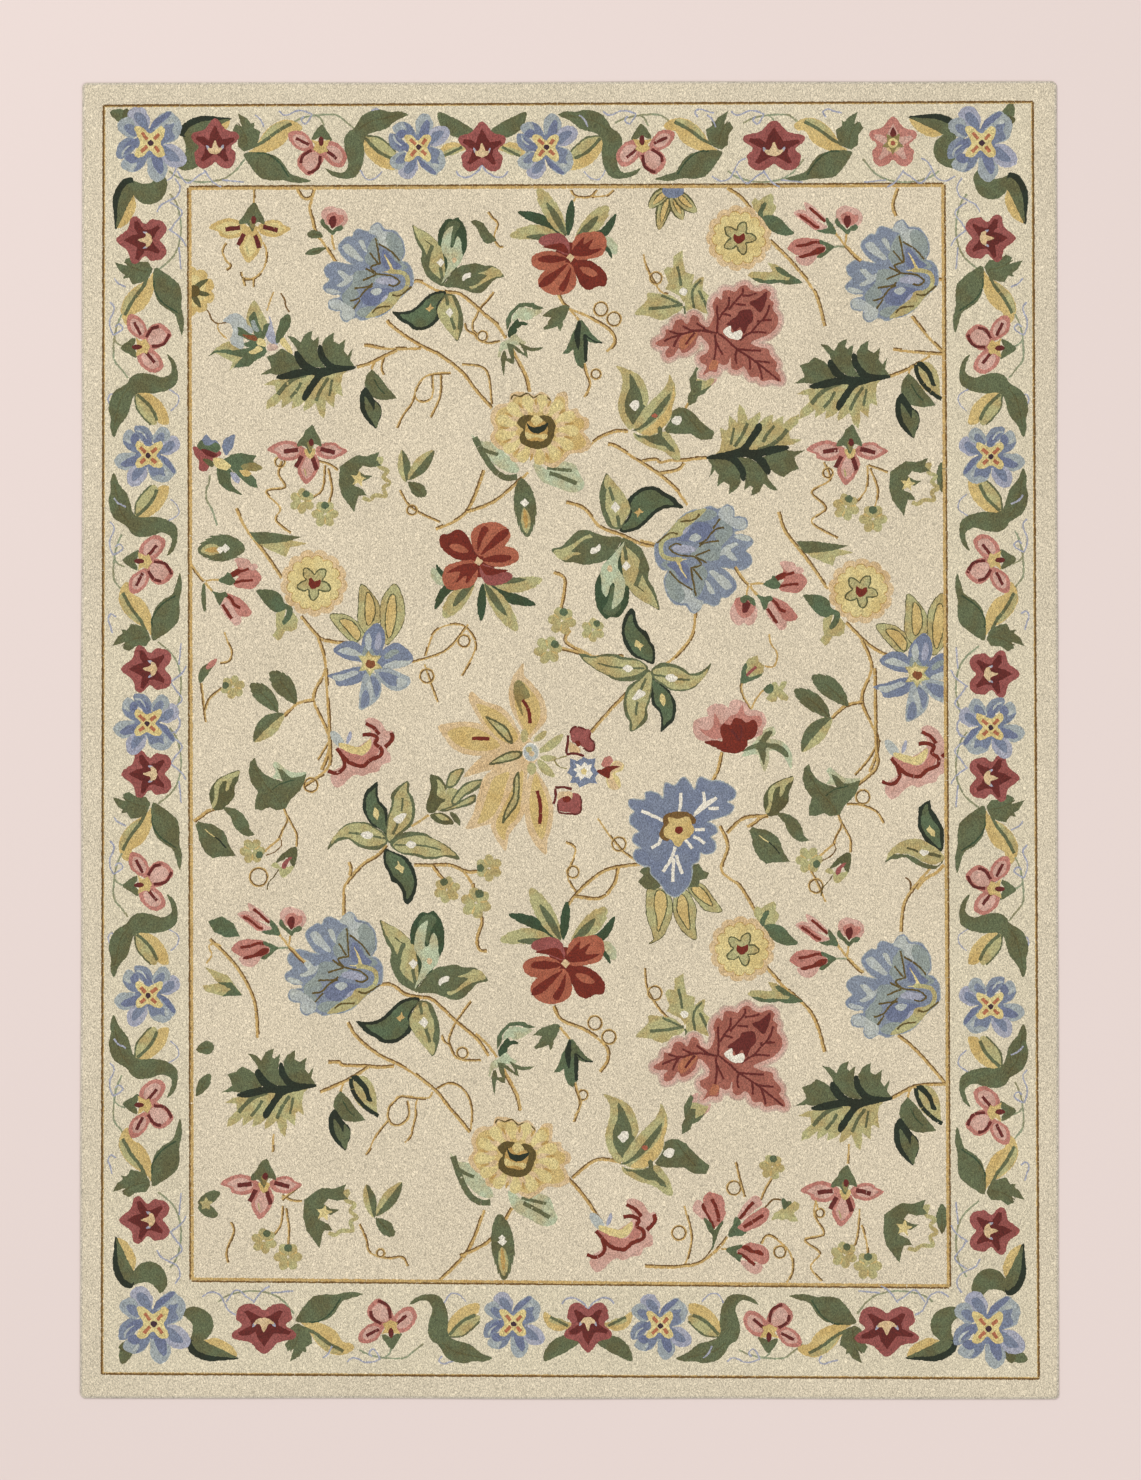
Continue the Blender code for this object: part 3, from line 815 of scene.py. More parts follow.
# Leaf groups and small blooms, each drawn about its joint in its own enlarged units
DRAWN = {
    # name: ((middle across, middle down, times enlarged), strokes), one or more times
    # stroke: blob or sharp for a filled outline, or a row's width in pixels; yarn; points
    "five_spray": (
        ((790, 600, 8), (
            ("blob", "green", ((480, 0), (540, 28), (620, 70), (690, 125), (745, 190), (800, 250), (830, 330), (830, 410),
                               (800, 490), (780, 570), (760, 575), (700, 545), (630, 495), (585, 410), (560, 330),
                               (570, 250), (530, 180), (498, 90))),
            ("blob", "light_green", ((492, 8), (540, 34), (620, 72), (690, 130), (742, 192), (795, 252), (824, 330),
                                     (822, 400), (800, 480), (775, 530), (740, 500), (680, 450), (640, 390), (650, 320),
                                     (618, 280), (575, 190), (525, 110))),
            ("blob", "green", ((598, 300), (620, 270), (652, 190), (686, 196), (660, 262), (640, 330), (604, 340))),
            (1.2, "moss", ((600, 140), (660, 188))),
            (3.4, "green", ((745, 395), (752, 450), (768, 530))),
            ("sharp", "white", ((708, 350), (746, 310), (784, 346), (748, 392))),
        )),
        ((471, 720, 7.27), (
            ("blob", "dark_green", ((440, 370), (412, 340), (412, 240), (445, 170), (490, 118), (545, 122), (575, 105),
                                    (615, 145), (645, 200), (657, 270), (655, 370), (628, 432), (600, 480), (560, 560),
                                    (520, 590), (450, 670), (470, 560))),
            ("blob", "pine", ((470, 220), (500, 150), (560, 134), (600, 170), (560, 250), (540, 350), (520, 330))),
            ("blob", "mint", ((440, 670), (480, 560), (490, 480), (440, 390), (445, 300), (470, 230), (535, 180),
                              (525, 260), (515, 360), (540, 362), (560, 300), (580, 268), (605, 310), (615, 400),
                              (620, 440), (600, 500), (540, 560), (480, 630))),
            ("blob", "peach", ((532, 455), (550, 450), (572, 470), (556, 498), (535, 490))),
        )),
        ((790, 600, 8), (
            ("blob", "green", ((785, 580), (800, 520), (860, 440), (930, 385), (1000, 368), (1080, 358), (1160, 378),
                               (1235, 380), (1285, 415), (1342, 470), (1332, 492), (1260, 510), (1200, 570),
                               (1130, 632), (1050, 636), (980, 610), (900, 588))),
            ("blob", "light_green", ((1100, 452), (1170, 430), (1228, 396), (1290, 412), (1326, 455), (1312, 480),
                                     (1250, 490), (1160, 534), (1100, 575), (1040, 602), (1016, 578), (1080, 560),
                                     (1140, 510), (1184, 466))),
            ("blob", "white", ((950, 488), (985, 455), (1032, 448), (1026, 490), (990, 500), (960, 525))),
            ("blob", "black_green", ((792, 622), (720, 620), (640, 650), (580, 700), (520, 760), (460, 800), (380, 815),
                                     (288, 812), (330, 862), (370, 905), (440, 940), (490, 978), (560, 988),
                                     (620, 976), (690, 930), (735, 880), (737, 820), (722, 780), (745, 720),
                                     (795, 660))),
            ("blob", "pine", ((778, 640), (700, 650), (620, 698), (562, 760), (500, 810), (430, 838), (366, 838),
                              (400, 880), (460, 912), (520, 954), (590, 955), (650, 922), (692, 880), (712, 830),
                              (700, 780), (726, 720), (772, 668))),
            ("sharp", "gold", ((605, 782), (635, 770), (654, 735), (664, 768), (684, 778), (652, 796), (646, 815))),
            ("blob", "green", ((790, 648), (862, 650), (902, 690), (940, 780), (957, 860), (957, 950), (938, 1020),
                               (905, 1090), (858, 1040), (798, 970), (742, 890), (712, 820), (718, 770), (752, 715))),
            ("blob", "light_green", ((798, 666), (852, 668), (880, 740), (908, 805), (912, 880), (905, 960), (922, 1000),
                                     (904, 1080), (850, 1030), (790, 960), (740, 884), (716, 820), (724, 770),
                                     (760, 710))),
            (3.4, "green", ((800, 664), (808, 710), (815, 755))),
            (3.2, "green", ((846, 870), (866, 930), (882, 980))),
            ("sharp", "white", ((790, 818), (832, 774), (868, 820), (836, 866))),
        )),
    ),
    "cross_spray": (
        ((475, 540, 7.5), (
            ("blob", "green", ((490, 560), (530, 500), (600, 465), (700, 465), (760, 480), (810, 510), (870, 540),
                               (930, 580), (990, 630), (1012, 672), (960, 665), (900, 650), (830, 667), (740, 667),
                               (680, 647), (600, 636), (540, 610))),
            ("blob", "light_green", ((512, 560), (560, 520), (640, 500), (720, 490), (800, 515), (870, 546), (930, 590),
                                     (980, 640), (900, 638), (830, 650), (750, 646), (690, 626), (600, 620), (540, 600))),
            (1.8, "green", ((520, 560), (700, 565), (790, 578), (870, 600))),
            ("blob", "white", ((605, 558), (640, 532), (684, 555), (660, 585), (630, 582))),
            ("blob", "green", ((470, 545), (420, 592), (370, 602), (300, 592), (230, 562), (180, 522), (110, 532),
                               (60, 562), (18, 602), (40, 540), (90, 470), (150, 412), (230, 390), (320, 395),
                               (380, 430), (430, 460), (470, 500))),
            ("blob", "light_green", ((456, 540), (410, 562), (340, 573), (270, 558), (220, 530), (170, 505), (100, 510),
                                     (45, 555), (60, 510), (110, 455), (170, 415), (240, 400), (320, 408), (370, 440),
                                     (430, 480))),
            (2.2, "green", ((180, 472), (270, 480), (380, 502), (462, 512))),
            ("blob", "white", ((268, 485), (310, 458), (360, 480), (350, 512), (308, 517))),
            ("blob", "black_green", ((470, 490), (420, 452), (350, 412), (308, 350), (284, 300), (284, 230), (305, 160),
                                     (350, 120), (396, 86), (396, 180), (410, 230), (462, 290), (472, 370),
                                     (478, 440))),
            ("blob", "pine", ((458, 476), (400, 430), (350, 390), (318, 330), (308, 260), (318, 190), (360, 150),
                              (378, 130), (380, 190), (398, 250), (438, 300), (450, 380), (460, 440))),
            ("blob", "butter", ((374, 278), (404, 322), (394, 372), (362, 336))),
            ("blob", "green", ((478, 545), (458, 470), (473, 340), (500, 250), (493, 190), (540, 130), (615, 83),
                               (634, 110), (632, 160), (662, 210), (678, 300), (657, 400), (612, 450), (540, 502),
                               (500, 545))),
            ("blob", "light_green", ((474, 526), (464, 470), (482, 360), (514, 260), (522, 200), (562, 140), (610, 95),
                                     (614, 160), (640, 220), (655, 300), (640, 380), (600, 430), (540, 480),
                                     (496, 526))),
            (2.4, "green", ((582, 208), (580, 260), (572, 310))),
            (2.8, "green", ((545, 398), (530, 440), (508, 484))),
            ("blob", "white", ((512, 370), (566, 330), (610, 328), (590, 370), (556, 402))),
            ("blob", "black_green", ((456, 590), (530, 620), (602, 650), (654, 710), (688, 800), (688, 880), (662, 962),
                                     (624, 1008), (593, 992), (578, 920), (548, 862), (498, 832), (476, 770),
                                     (446, 720), (438, 640))),
            ("blob", "pine", ((468, 610), (540, 640), (590, 672), (630, 730), (664, 810), (664, 880), (632, 956),
                              (610, 962), (602, 900), (562, 840), (520, 800), (490, 750), (464, 700), (458, 650))),
            ("sharp", "butter", ((545, 680), (568, 716), (596, 730), (582, 776), (552, 752), (524, 732), (546, 712))),
        )),
    ),
    "three_leaves": (
        ((670, 520, 9.375), (
            ("blob", "light_green", ((650, 512), (590, 440), (550, 350), (543, 260), (568, 160), (586, 60), (570, -20),
                                     (525, -84), (620, -60), (740, 0), (800, 90), (832, 200), (822, 262), (790, 320),
                                     (740, 400), (700, 480))),
            ("blob", "green", ((690, 470), (640, 400), (608, 320), (613, 220), (650, 120), (652, -10), (690, 30),
                               (732, 110), (768, 200), (778, 270), (800, 292), (760, 350), (730, 420), (708, 470))),
            ("blob", "white", ((648, 290), (690, 240), (736, 240), (742, 290), (700, 336), (662, 302))),
            ("blob", "light_green", ((690, 512), (700, 450), (760, 360), (830, 270), (900, 200), (970, 130), (1010, 60),
                                     (1024, -5), (1060, 50), (1082, 120), (1078, 220), (1052, 300), (1046, 380),
                                     (1010, 450), (960, 500), (900, 552), (830, 567), (760, 552), (720, 532))),
            ("blob", "yellow", ((760, 545), (850, 470), (930, 400), (1010, 300), (1050, 200), (1062, 100), (1076, 190),
                                (1050, 300), (1040, 380), (1000, 450), (950, 500), (890, 545), (830, 560))),
            ("sharp", "green", ((665, 522), (720, 500), (790, 450), (840, 390), (900, 310), (960, 240), (1037, 158),
                                (1032, 222), (990, 292), (930, 380), (862, 442), (790, 492), (720, 524))),
            ("blob", "orange", ((855, 378), (885, 356), (915, 380), (890, 402))),
            ("blob", "light_green", ((690, 542), (740, 560), (820, 560), (900, 570), (950, 540), (1000, 530), (1060, 600),
                                     (1112, 690), (1127, 792), (1060, 782), (980, 722), (900, 692), (830, 672),
                                     (760, 632), (700, 592))),
            ("sharp", "green", ((700, 550), (760, 570), (840, 572), (920, 550), (912, 500), (935, 478), (958, 500),
                                (958, 570), (1002, 620), (1062, 680), (1078, 724), (1030, 712), (980, 664),
                                (920, 662), (850, 632), (790, 592), (730, 582))),
            ("sharp", "green", ((972, 512), (1010, 460), (1043, 400), (1058, 330), (1110, 303), (1182, 308), (1240, 340),
                                (1302, 410), (1362, 470), (1444, 530), (1442, 560), (1422, 604), (1320, 608),
                                (1270, 582), (1230, 552), (1140, 552), (1070, 552), (1010, 542))),
            (1.4, "moss", ((1160, 330), (1240, 440), (1330, 540))),
            ("blob", "white", ((1043, 430), (1080, 388), (1132, 390), (1142, 420), (1110, 467), (1070, 457))),
        )),
    ),
    "cut_leaves": (
        ((870, 170, 10.91), (
            (3.0, "gold", ((300, 650), (400, 830), (460, 960), (490, 1110))),
            (1.3, "brown", ((280, 660), (380, 840), (440, 970), (470, 1110))),
            (2.6, "gold", ((0, 270), (110, 370), (170, 440), (230, 525))),
            ("blob", "mint", ((300, 290), (340, 230), (400, 190), (520, 205), (600, 215), (620, 240), (540, 290),
                              (480, 325), (420, 335), (370, 308), (330, 330), (300, 335))),
            ("sharp", "pine", ((235, 450), (230, 380), (230, 310), (265, 250), (310, 200), (370, 145), (450, 138),
                               (532, 138), (562, 165), (610, 178), (652, 198), (600, 212), (520, 205), (510, 190),
                               (450, 180), (370, 192), (320, 245), (290, 290), (285, 345), (262, 400))),
            ("sharp", "dark_green", ((250, 510), (245, 450), (290, 380), (330, 330), (355, 306), (375, 345), (430, 342),
                                     (467, 365), (460, 384), (400, 386), (350, 422), (348, 465), (300, 500),
                                     (270, 527))),
            ("blob", "mint", ((175, 575), (240, 545), (330, 478), (382, 530), (450, 572), (400, 606), (330, 600),
                              (300, 640), (200, 650), (160, 740), (138, 730), (150, 660))),
            ("sharp", "green", ((238, 580), (300, 590), (360, 628), (400, 664), (430, 690), (410, 640), (370, 580),
                                (382, 572), (432, 600), (500, 628), (642, 626), (602, 656), (510, 672), (455, 655),
                                (474, 742), (430, 716), (360, 680), (310, 640), (322, 760), (318, 806), (288, 806),
                                (228, 772), (216, 850), (210, 945), (193, 900), (178, 820), (173, 740), (190, 672),
                                (216, 660), (232, 700), (242, 745), (290, 745), (262, 690))),
            ("sharp", "green", ((900, 165), (850, 165), (790, 185), (720, 205), (650, 260), (622, 285), (722, 300),
                                (690, 340), (688, 365), (638, 410), (650, 437), (722, 420), (790, 395), (822, 452),
                                (852, 380), (852, 340), (882, 300), (912, 230), (926, 190))),
            (2.6, "gold", ((920, 200), (970, 260), (1030, 330))),
            (2.2, "gold", ((1090, 800), (1110, 900), (1140, 970), (1150, 1030), (1120, 1110), (1080, 1165))),
            (1.2, "brown", ((1075, 810), (1095, 905), (1128, 980), (1138, 1030), (1110, 1100))),
            ("sharp", "pine", ((1020, 328), (1062, 328), (1112, 400), (1172, 480), (1222, 530), (1287, 575),
                               (1200, 582), (1122, 562), (1122, 650), (1112, 720), (1122, 775), (1080, 802),
                               (1070, 862), (1008, 822), (983, 770), (968, 700), (962, 650), (915, 692), (848, 695),
                               (888, 640), (918, 570), (938, 500), (973, 440), (998, 370))),
            ("blob", "black_green", ((1020, 335), (1000, 400), (975, 470), (985, 570), (1018, 655), (1036, 580),
                                     (1042, 450), (1044, 345))),
            ("blob", "black_green", ((1078, 478), (1122, 545), (1118, 650), (1116, 772), (1084, 776), (1076, 640))),
            (1.6, "black_green", ((1095, 490), (1190, 560), (1280, 575))),
        )),
    ),
    "twin_leaves": (
        ((715, 490, 10), (
            (2.4, "gold", ((745, 420), (730, 450), (715, 495))),
            ("sharp", "green", ((715, 488), (690, 520), (658, 560), (643, 640), (660, 690), (715, 765), (770, 792),
                                (850, 802), (968, 785), (935, 740), (900, 700), (850, 640), (800, 570), (760, 530))),
            (1.2, "dark_green", ((740, 590), (790, 680), (850, 740))),
            ("blob", "black_green", ((655, 673), (610, 720), (596, 800), (606, 900), (655, 990), (728, 1062),
                                     (765, 1085), (772, 1040), (802, 990), (818, 920), (802, 850), (752, 800),
                                     (702, 730))),
            ("blob", "green", ((648, 766), (700, 830), (742, 905), (752, 822), (800, 870), (815, 920), (790, 1000),
                               (768, 1078), (722, 1015), (676, 940), (650, 860))),
        )),
    ),
    "split_leaf": (
        ((490, 340, 9.375), (
            ("blob", "light_green", ((480, 350), (560, 333), (622, 350), (682, 420), (714, 520), (720, 650), (737, 714),
                                     (640, 670), (540, 600), (490, 500), (465, 400))),
            (4.2, "black_green", ((475, 360), (482, 430), (512, 510), (572, 590), (650, 660), (735, 712))),
            ("blob", "black_green", ((480, 345), (530, 330), (585, 378), (634, 440), (652, 500), (678, 575),
                                     (630, 572), (612, 510), (578, 450), (530, 400), (500, 375))),
        )),
    ),
    "left_trio": (
        ((250, 455, 9.23), (
            (3.0, "gold", ((30, 565), (100, 520), (160, 472), (230, 452))),
            (1.3, "brown", ((50, 572), (110, 532), (170, 486), (225, 466))),
            ("blob", "moss", ((215, 455), (190, 400), (178, 320), (198, 250), (250, 180), (320, 140), (400, 108),
                              (458, 98), (448, 180), (417, 250), (412, 330), (372, 390), (327, 430), (330, 452),
                              (250, 467))),
            ("blob", "light_green", ((200, 424), (226, 350), (226, 240), (270, 180), (340, 140), (457, 102), (440, 150),
                                     (398, 170), (366, 252), (334, 292), (330, 250), (338, 192), (300, 204),
                                     (272, 252), (262, 330), (240, 412), (215, 442))),
            ("sharp", "green", ((298, 440), (350, 435), (422, 450), (492, 500), (542, 580), (552, 640), (602, 690),
                                (540, 707), (490, 692), (428, 640), (398, 600), (378, 530), (338, 490))),
            ("sharp", "green", ((48, 600), (80, 563), (130, 583), (202, 588), (272, 628), (312, 660), (342, 720),
                                (352, 760), (382, 820), (424, 887), (340, 892), (280, 892), (208, 907), (148, 862),
                                (108, 800), (82, 740), (72, 660))),
            (1.0, "butter", ((140, 640), (185, 680), (230, 710))),
            (1.5, "black_green", ((230, 708), (280, 750), (332, 812))),
            (2.4, "gold", ((860, 430), (888, 500), (900, 560), (852, 650), (830, 720), (762, 780), (690, 842))),
            (1.2, "brown", ((872, 440), (898, 510), (888, 590), (842, 670), (820, 720))),
            (1.2, "brown", ((832, 716), (846, 780), (792, 842), (700, 882))),
            (2.2, "gold", ((890, 500), (942, 600), (982, 680), (982, 800))),
            (1.1, "brown", ((904, 510), (956, 610), (992, 690), (992, 800))),
            ("blob", "moss", ((975, 800), (992, 870), (962, 992), (932, 962), (900, 902), (850, 932), (788, 952),
                              (830, 890), (900, 828))),
            ("blob", "light_green", ((748, 972), (790, 945), (832, 982), (800, 1002))),
            ("blob", "light_green", ((828, 990), (890, 988), (952, 978), (942, 1022), (870, 1084), (830, 1062))),
            ("blob", "rose", ((848, 962), (898, 910), (946, 894), (905, 950), (880, 1002), (850, 1002))),
            (1.1, "umber", ((820, 1010), (780, 1070), (728, 1132), (712, 1200))),
        )),
    ),
    "right_trio": (
        ((450, 765, 5), (
            ("blob", "mint", ((438, 722), (450, 690), (434, 655), (452, 638), (500, 676), (540, 692), (602, 692),
                              (560, 722))),
            ("sharp", "green", ((345, 618), (357, 660), (390, 700), (440, 725), (482, 735), (455, 670), (482, 680),
                                (522, 718), (560, 715), (602, 700), (592, 740), (572, 780), (522, 830), (500, 872),
                                (450, 882), (420, 865), (380, 882), (345, 877), (345, 830), (360, 790), (323, 740),
                                (313, 690), (320, 640))),
            (1.2, "moss", ((340, 660), (400, 760), (440, 800))),
            (1.2, "dark_green", ((430, 780), (470, 750), (540, 730))),
            (1.2, "moss", ((440, 800), (470, 840), (480, 870))),
        )),
    ),
    "cup_bud": (
        ((1300, 300, 6.25), (
            ("blob", "light_pink", ((1340, 110), (1352, 60), (1400, 30), (1470, 60), (1480, 120), (1450, 160),
                                    (1390, 190))),
            ("blob", "light_green", ((1340, 110), (1380, 90), (1460, 110), (1450, 150), (1390, 192), (1368, 142))),
            ("sharp", "green", ((1300, 290), (1298, 230), (1318, 190), (1308, 120), (1355, 38), (1372, 60),
                                (1352, 130), (1387, 130), (1382, 190), (1452, 155), (1402, 212), (1362, 227),
                                (1352, 262))),
        )),
    ),
    "light_sprig": (
        ((310, 490, 7.06), (
            ("blob", "light_green", ((300, 494), (230, 430), (160, 418), (58, 408), (50, 460), (0, 510), (-34, 560),
                                     (60, 572), (150, 602), (240, 562), (300, 522))),
            ("blob", "light_green", ((318, 442), (350, 370), (400, 318), (452, 298), (442, 380), (492, 440), (492, 552),
                                     (400, 532), (330, 540))),
            ("sharp", "light_green", ((310, 480), (280, 430), (178, 380), (200, 340), (168, 250), (190, 223),
                                      (235, 230), (235, 150), (300, 108), (302, 170), (322, 260), (382, 280),
                                      (372, 340), (342, 400), (330, 442))),
            (3.2, "green", ((60, 520), (180, 510), (300, 490))),
            (2.6, "green", ((150, 425), (250, 470), (300, 495))),
            (2.8, "green", ((265, 220), (280, 290), (290, 360))),
            (2.6, "green", ((385, 530), (370, 400), (430, 315))),
            (3.0, "green", ((415, 390), (460, 480), (490, 550))),
            (2.2, "green", ((312, 500), (318, 560), (312, 640))),
            ("blob", "white", ((276, 398), (306, 372), (336, 400), (308, 430))),
        )),
    ),
    "hand_leaves": (
        ((790, 330, 7.5), (
            (2.6, "gold", ((650, 422), (710, 384), (780, 336))),
            ("blob", "light_green", ((830, 292), (900, 200), (920, 138), (972, 138), (1002, 160), (1002, 222),
                                     (950, 282), (870, 302))),
            ("blob", "green", ((906, 132), (918, 60), (950, 8), (1044, -14), (1022, 52), (972, 124))),
            ("blob", "light_green", ((920, 118), (932, 64), (960, 18), (1026, -4), (1008, 46), (964, 112))),
            ("blob", "green", ((946, 234), (1000, 148), (1080, 86), (1194, 72), (1162, 132), (1100, 172),
                               (1040, 204), (980, 274))),
            ("blob", "light_green", ((960, 240), (1008, 160), (1084, 98), (1170, 84), (1120, 134), (1050, 178),
                                     (990, 240))),
            ("blob", "green", ((858, 304), (950, 268), (1040, 218), (1124, 184), (1128, 238), (1060, 274),
                               (970, 294), (900, 314))),
            ("blob", "light_green", ((900, 300), (960, 276), (1040, 232), (1112, 200), (1110, 232), (1040, 262),
                                     (960, 286))),
            ("blob", "moss", ((780, 322), (758, 280), (773, 210), (793, 140), (788, 38), (850, 48), (892, 90),
                              (912, 140), (892, 190), (902, 230), (862, 262), (830, 312))),
            ("blob", "light_green", ((838, 70), (870, 90), (900, 142), (908, 210), (870, 212), (838, 182),
                                     (848, 132))),
            ("blob", "moss", ((788, 338), (850, 318), (900, 328), (950, 368), (962, 407), (880, 407), (820, 382))),
            ("blob", "light_green", ((828, 332), (880, 336), (930, 376), (870, 372))),
            ("blob", "green", ((938, 318), (982, 328), (1014, 380), (1010, 418), (960, 372))),
        )),
    ),
    "bud_spray": (
        ((965, 600, 9.23), (
            (3.0, "gold", ((965, 600), (1010, 640), (1060, 695), (1120, 745))),
            (1.4, "brown", ((960, 612), (1000, 652), (1050, 705), (1110, 755))),
            (2.4, "gold", ((860, 430), (890, 500), (930, 550), (965, 600))),
            (2.2, "gold", ((985, 500), (975, 560), (965, 600))),
            (2.0, "tendril_green", ((850, 622), (910, 614), (965, 615))),
            ("blob", "light_pink", ((590, 205), (630, 215), (700, 260), (760, 320), (800, 360), (785, 385),
                                    (700, 360), (640, 330), (605, 265))),
            ("blob", "light_pink", ((495, 305), (540, 275), (600, 280), (660, 330), (720, 380), (810, 430),
                                    (780, 450), (720, 460), (670, 440), (600, 395), (540, 350))),
            ("blob", "pink", ((520, 312), (590, 310), (650, 350), (710, 400), (740, 440), (690, 460), (620, 405),
                              (560, 355))),
            (3.0, "dark_red", ((640, 255), (690, 295), (740, 340), (790, 385))),
            (2.8, "dark_red", ((550, 325), (620, 370), (690, 425), (730, 438))),
            ("blob", "pine", ((800, 345), (850, 400), (870, 430), (887, 497), (830, 495), (770, 492), (710, 465),
                              (760, 455), (812, 440), (795, 395))),
            ("blob", "light_pink", ((888, 350), (890, 290), (925, 250), (975, 235), (1030, 250), (1090, 270),
                                    (1122, 310), (1132, 360), (1100, 415), (1050, 425), (940, 405), (900, 385))),
            ("blob", "pink", ((938, 320), (975, 295), (1020, 293), (1045, 318), (1092, 320), (1088, 372),
                              (1050, 405), (990, 435), (950, 392), (933, 350))),
            ("blob", "maroon", ((988, 325), (1015, 330), (1026, 370), (1012, 420), (990, 447), (970, 420),
                                (955, 380), (968, 340))),
            ("blob", "pine", ((900, 350), (878, 375), (885, 410), (940, 460), (985, 502), (1010, 490), (1025, 470),
                              (1065, 465), (1092, 435), (1070, 410), (1020, 430), (990, 457), (960, 430), (930, 400))),
            ("blob", "pink", ((438, 625), (470, 580), (520, 545), (600, 533), (680, 540), (740, 552), (760, 590),
                              (792, 620), (780, 665), (740, 690), (640, 712), (540, 700), (480, 670), (448, 648))),
            ("blob", "light_pink", ((515, 700), (520, 745), (560, 782), (620, 792), (665, 772), (705, 722),
                                    (700, 690), (620, 712))),
            (3.0, "dark_red", ((520, 610), (600, 600), (680, 575), (745, 577))),
            ("blob", "dark_red", ((538, 705), (570, 690), (650, 668), (720, 620), (785, 620), (780, 652),
                                  (740, 682), (650, 702), (570, 724))),
            ("blob", "pine", ((732, 552), (800, 575), (872, 612), (842, 645), (790, 692), (750, 722), (708, 712),
                              (740, 682), (788, 655), (788, 610), (745, 590))),
        )),
    ),
    "left_bud": (
        ((985, 502, 9.23), (
            (2.2, "gold", ((985, 500), (990, 560), (1010, 640))),
            ("blob", "light_pink", ((888, 350), (890, 290), (925, 250), (975, 235), (1030, 250), (1090, 270),
                                    (1122, 310), (1132, 360), (1100, 415), (1050, 425), (940, 405), (900, 385))),
            ("blob", "pink", ((938, 320), (975, 295), (1020, 293), (1045, 318), (1092, 320), (1088, 372),
                              (1050, 405), (990, 435), (950, 392), (933, 350))),
            ("blob", "maroon", ((988, 325), (1015, 330), (1026, 370), (1012, 420), (990, 447), (970, 420),
                                (955, 380), (968, 340))),
            ("blob", "pine", ((900, 350), (878, 375), (885, 410), (940, 460), (985, 502), (1010, 490), (1025, 470),
                              (1065, 465), (1092, 435), (1070, 410), (1020, 430), (990, 457), (960, 430), (930, 400))),
        )),
    ),
    "rosette_leaves": (
        ((200, 345, 9.23), (
            ("sharp", "light_green", ((160, 310), (115, 250), (108, 200), (140, 163), (172, 190), (230, 150),
                                      (290, 123), (312, 160), (302, 210), (337, 240), (330, 278), (290, 332),
                                      (250, 348), (200, 345))),
            ("blob", "pine", ((190, 345), (162, 310), (180, 270), (205, 218), (238, 203), (247, 230), (217, 290),
                              (208, 345))),
            ("blob", "pine", ((200, 345), (260, 323), (330, 333), (390, 370), (440, 430), (502, 490), (450, 513),
                              (390, 511), (320, 487), (260, 440), (225, 380))),
        )),
    ),
    "slim_leaf": (
        ((580, 948, 9.23), (
            ("sharp", "light_green", ((68, 880), (110, 843), (200, 848), (280, 850), (300, 840), (270, 790),
                                      (258, 762), (330, 778), (400, 818), (470, 880), (580, 948), (500, 960),
                                      (430, 960), (360, 945), (240, 950), (160, 940), (100, 900))),
            ("sharp", "pine", ((105, 903), (160, 903), (220, 923), (310, 918), (380, 923), (450, 923), (462, 903),
                               (400, 885), (350, 850), (323, 803), (362, 800), (420, 835), (480, 880), (540, 915),
                               (582, 950), (500, 965), (430, 965), (370, 948), (280, 960), (190, 950), (130, 925))),
        )),
    ),
    "lobed_leaf": (
        ((985, 360, 7.5), (
            ("sharp", "light_green", ((925, 440), (960, 415), (1000, 405), (985, 470), (985, 520), (1030, 480),
                                      (1050, 428), (1092, 480), (1082, 550), (1042, 573), (995, 570), (970, 620),
                                      (940, 645), (898, 600), (930, 560), (922, 500))),
            ("blob", "pine", ((780, 262), (880, 260), (940, 280), (975, 320), (985, 358), (1032, 380), (1052, 420),
                              (1032, 480), (985, 523), (970, 500), (1000, 440), (998, 408), (940, 430), (880, 405),
                              (830, 350), (795, 300))),
        )),
    ),
    "low_buds": (
        ((365, 185, 7.5), (
            (2.8, "gold", ((262, 50), (300, 110), (340, 165), (365, 185))),
            (1.3, "brown", ((255, 55), (292, 115), (335, 170), (360, 190))),
            (2.2, "gold", ((375, 185), (430, 175), (480, 178))),
            (2.6, "gold", ((375, 195), (400, 230), (430, 265))),
            ("blob", "pink", ((560, 130), (620, 92), (612, 50), (600, 20), (650, 13), (700, 20), (722, 50),
                              (740, 80), (800, 138), (802, 172), (770, 220), (730, 246), (660, 242), (598, 225),
                              (596, 190), (630, 150))),
            ("blob", "light_pink", ((622, 62), (598, 22), (632, 8), (692, 15), (722, 50), (762, 55), (777, 85),
                                    (742, 102), (662, 90))),
            ("blob", "dark_red", ((553, 137), (600, 100), (640, 93), (642, 125), (600, 152), (565, 162))),
            (2.6, "dark_red", ((630, 115), (708, 92))),
            (2.8, "dark_red", ((588, 202), (660, 185), (738, 180))),
            ("blob", "pine", ((472, 180), (530, 140), (545, 115), (560, 122), (602, 180), (592, 207), (560, 217),
                              (520, 207))),
            ("blob", "light_pink", ((490, 360), (520, 320), (540, 300), (590, 340), (640, 400), (652, 470),
                                    (642, 512), (600, 527), (578, 500), (540, 462), (508, 412))),
            ("blob", "pink", ((528, 278), (580, 288), (640, 318), (692, 365), (732, 430), (700, 457), (650, 457),
                              (620, 440), (590, 390), (548, 330))),
            (3.4, "dark_red", ((505, 365), (530, 400), (560, 450), (578, 472))),
            (3.2, "dark_red", ((525, 290), (570, 320), (600, 370), (642, 388))),
            ("blob", "pine", ((423, 258), (480, 275), (530, 268), (547, 300), (520, 312), (497, 362), (480, 372),
                              (463, 340), (448, 300))),
        )),
    ),
    "low_round_bud": (
        ((365, 185, 7.5), (
            (2.2, "gold", ((365, 190), (352, 230), (350, 280))),
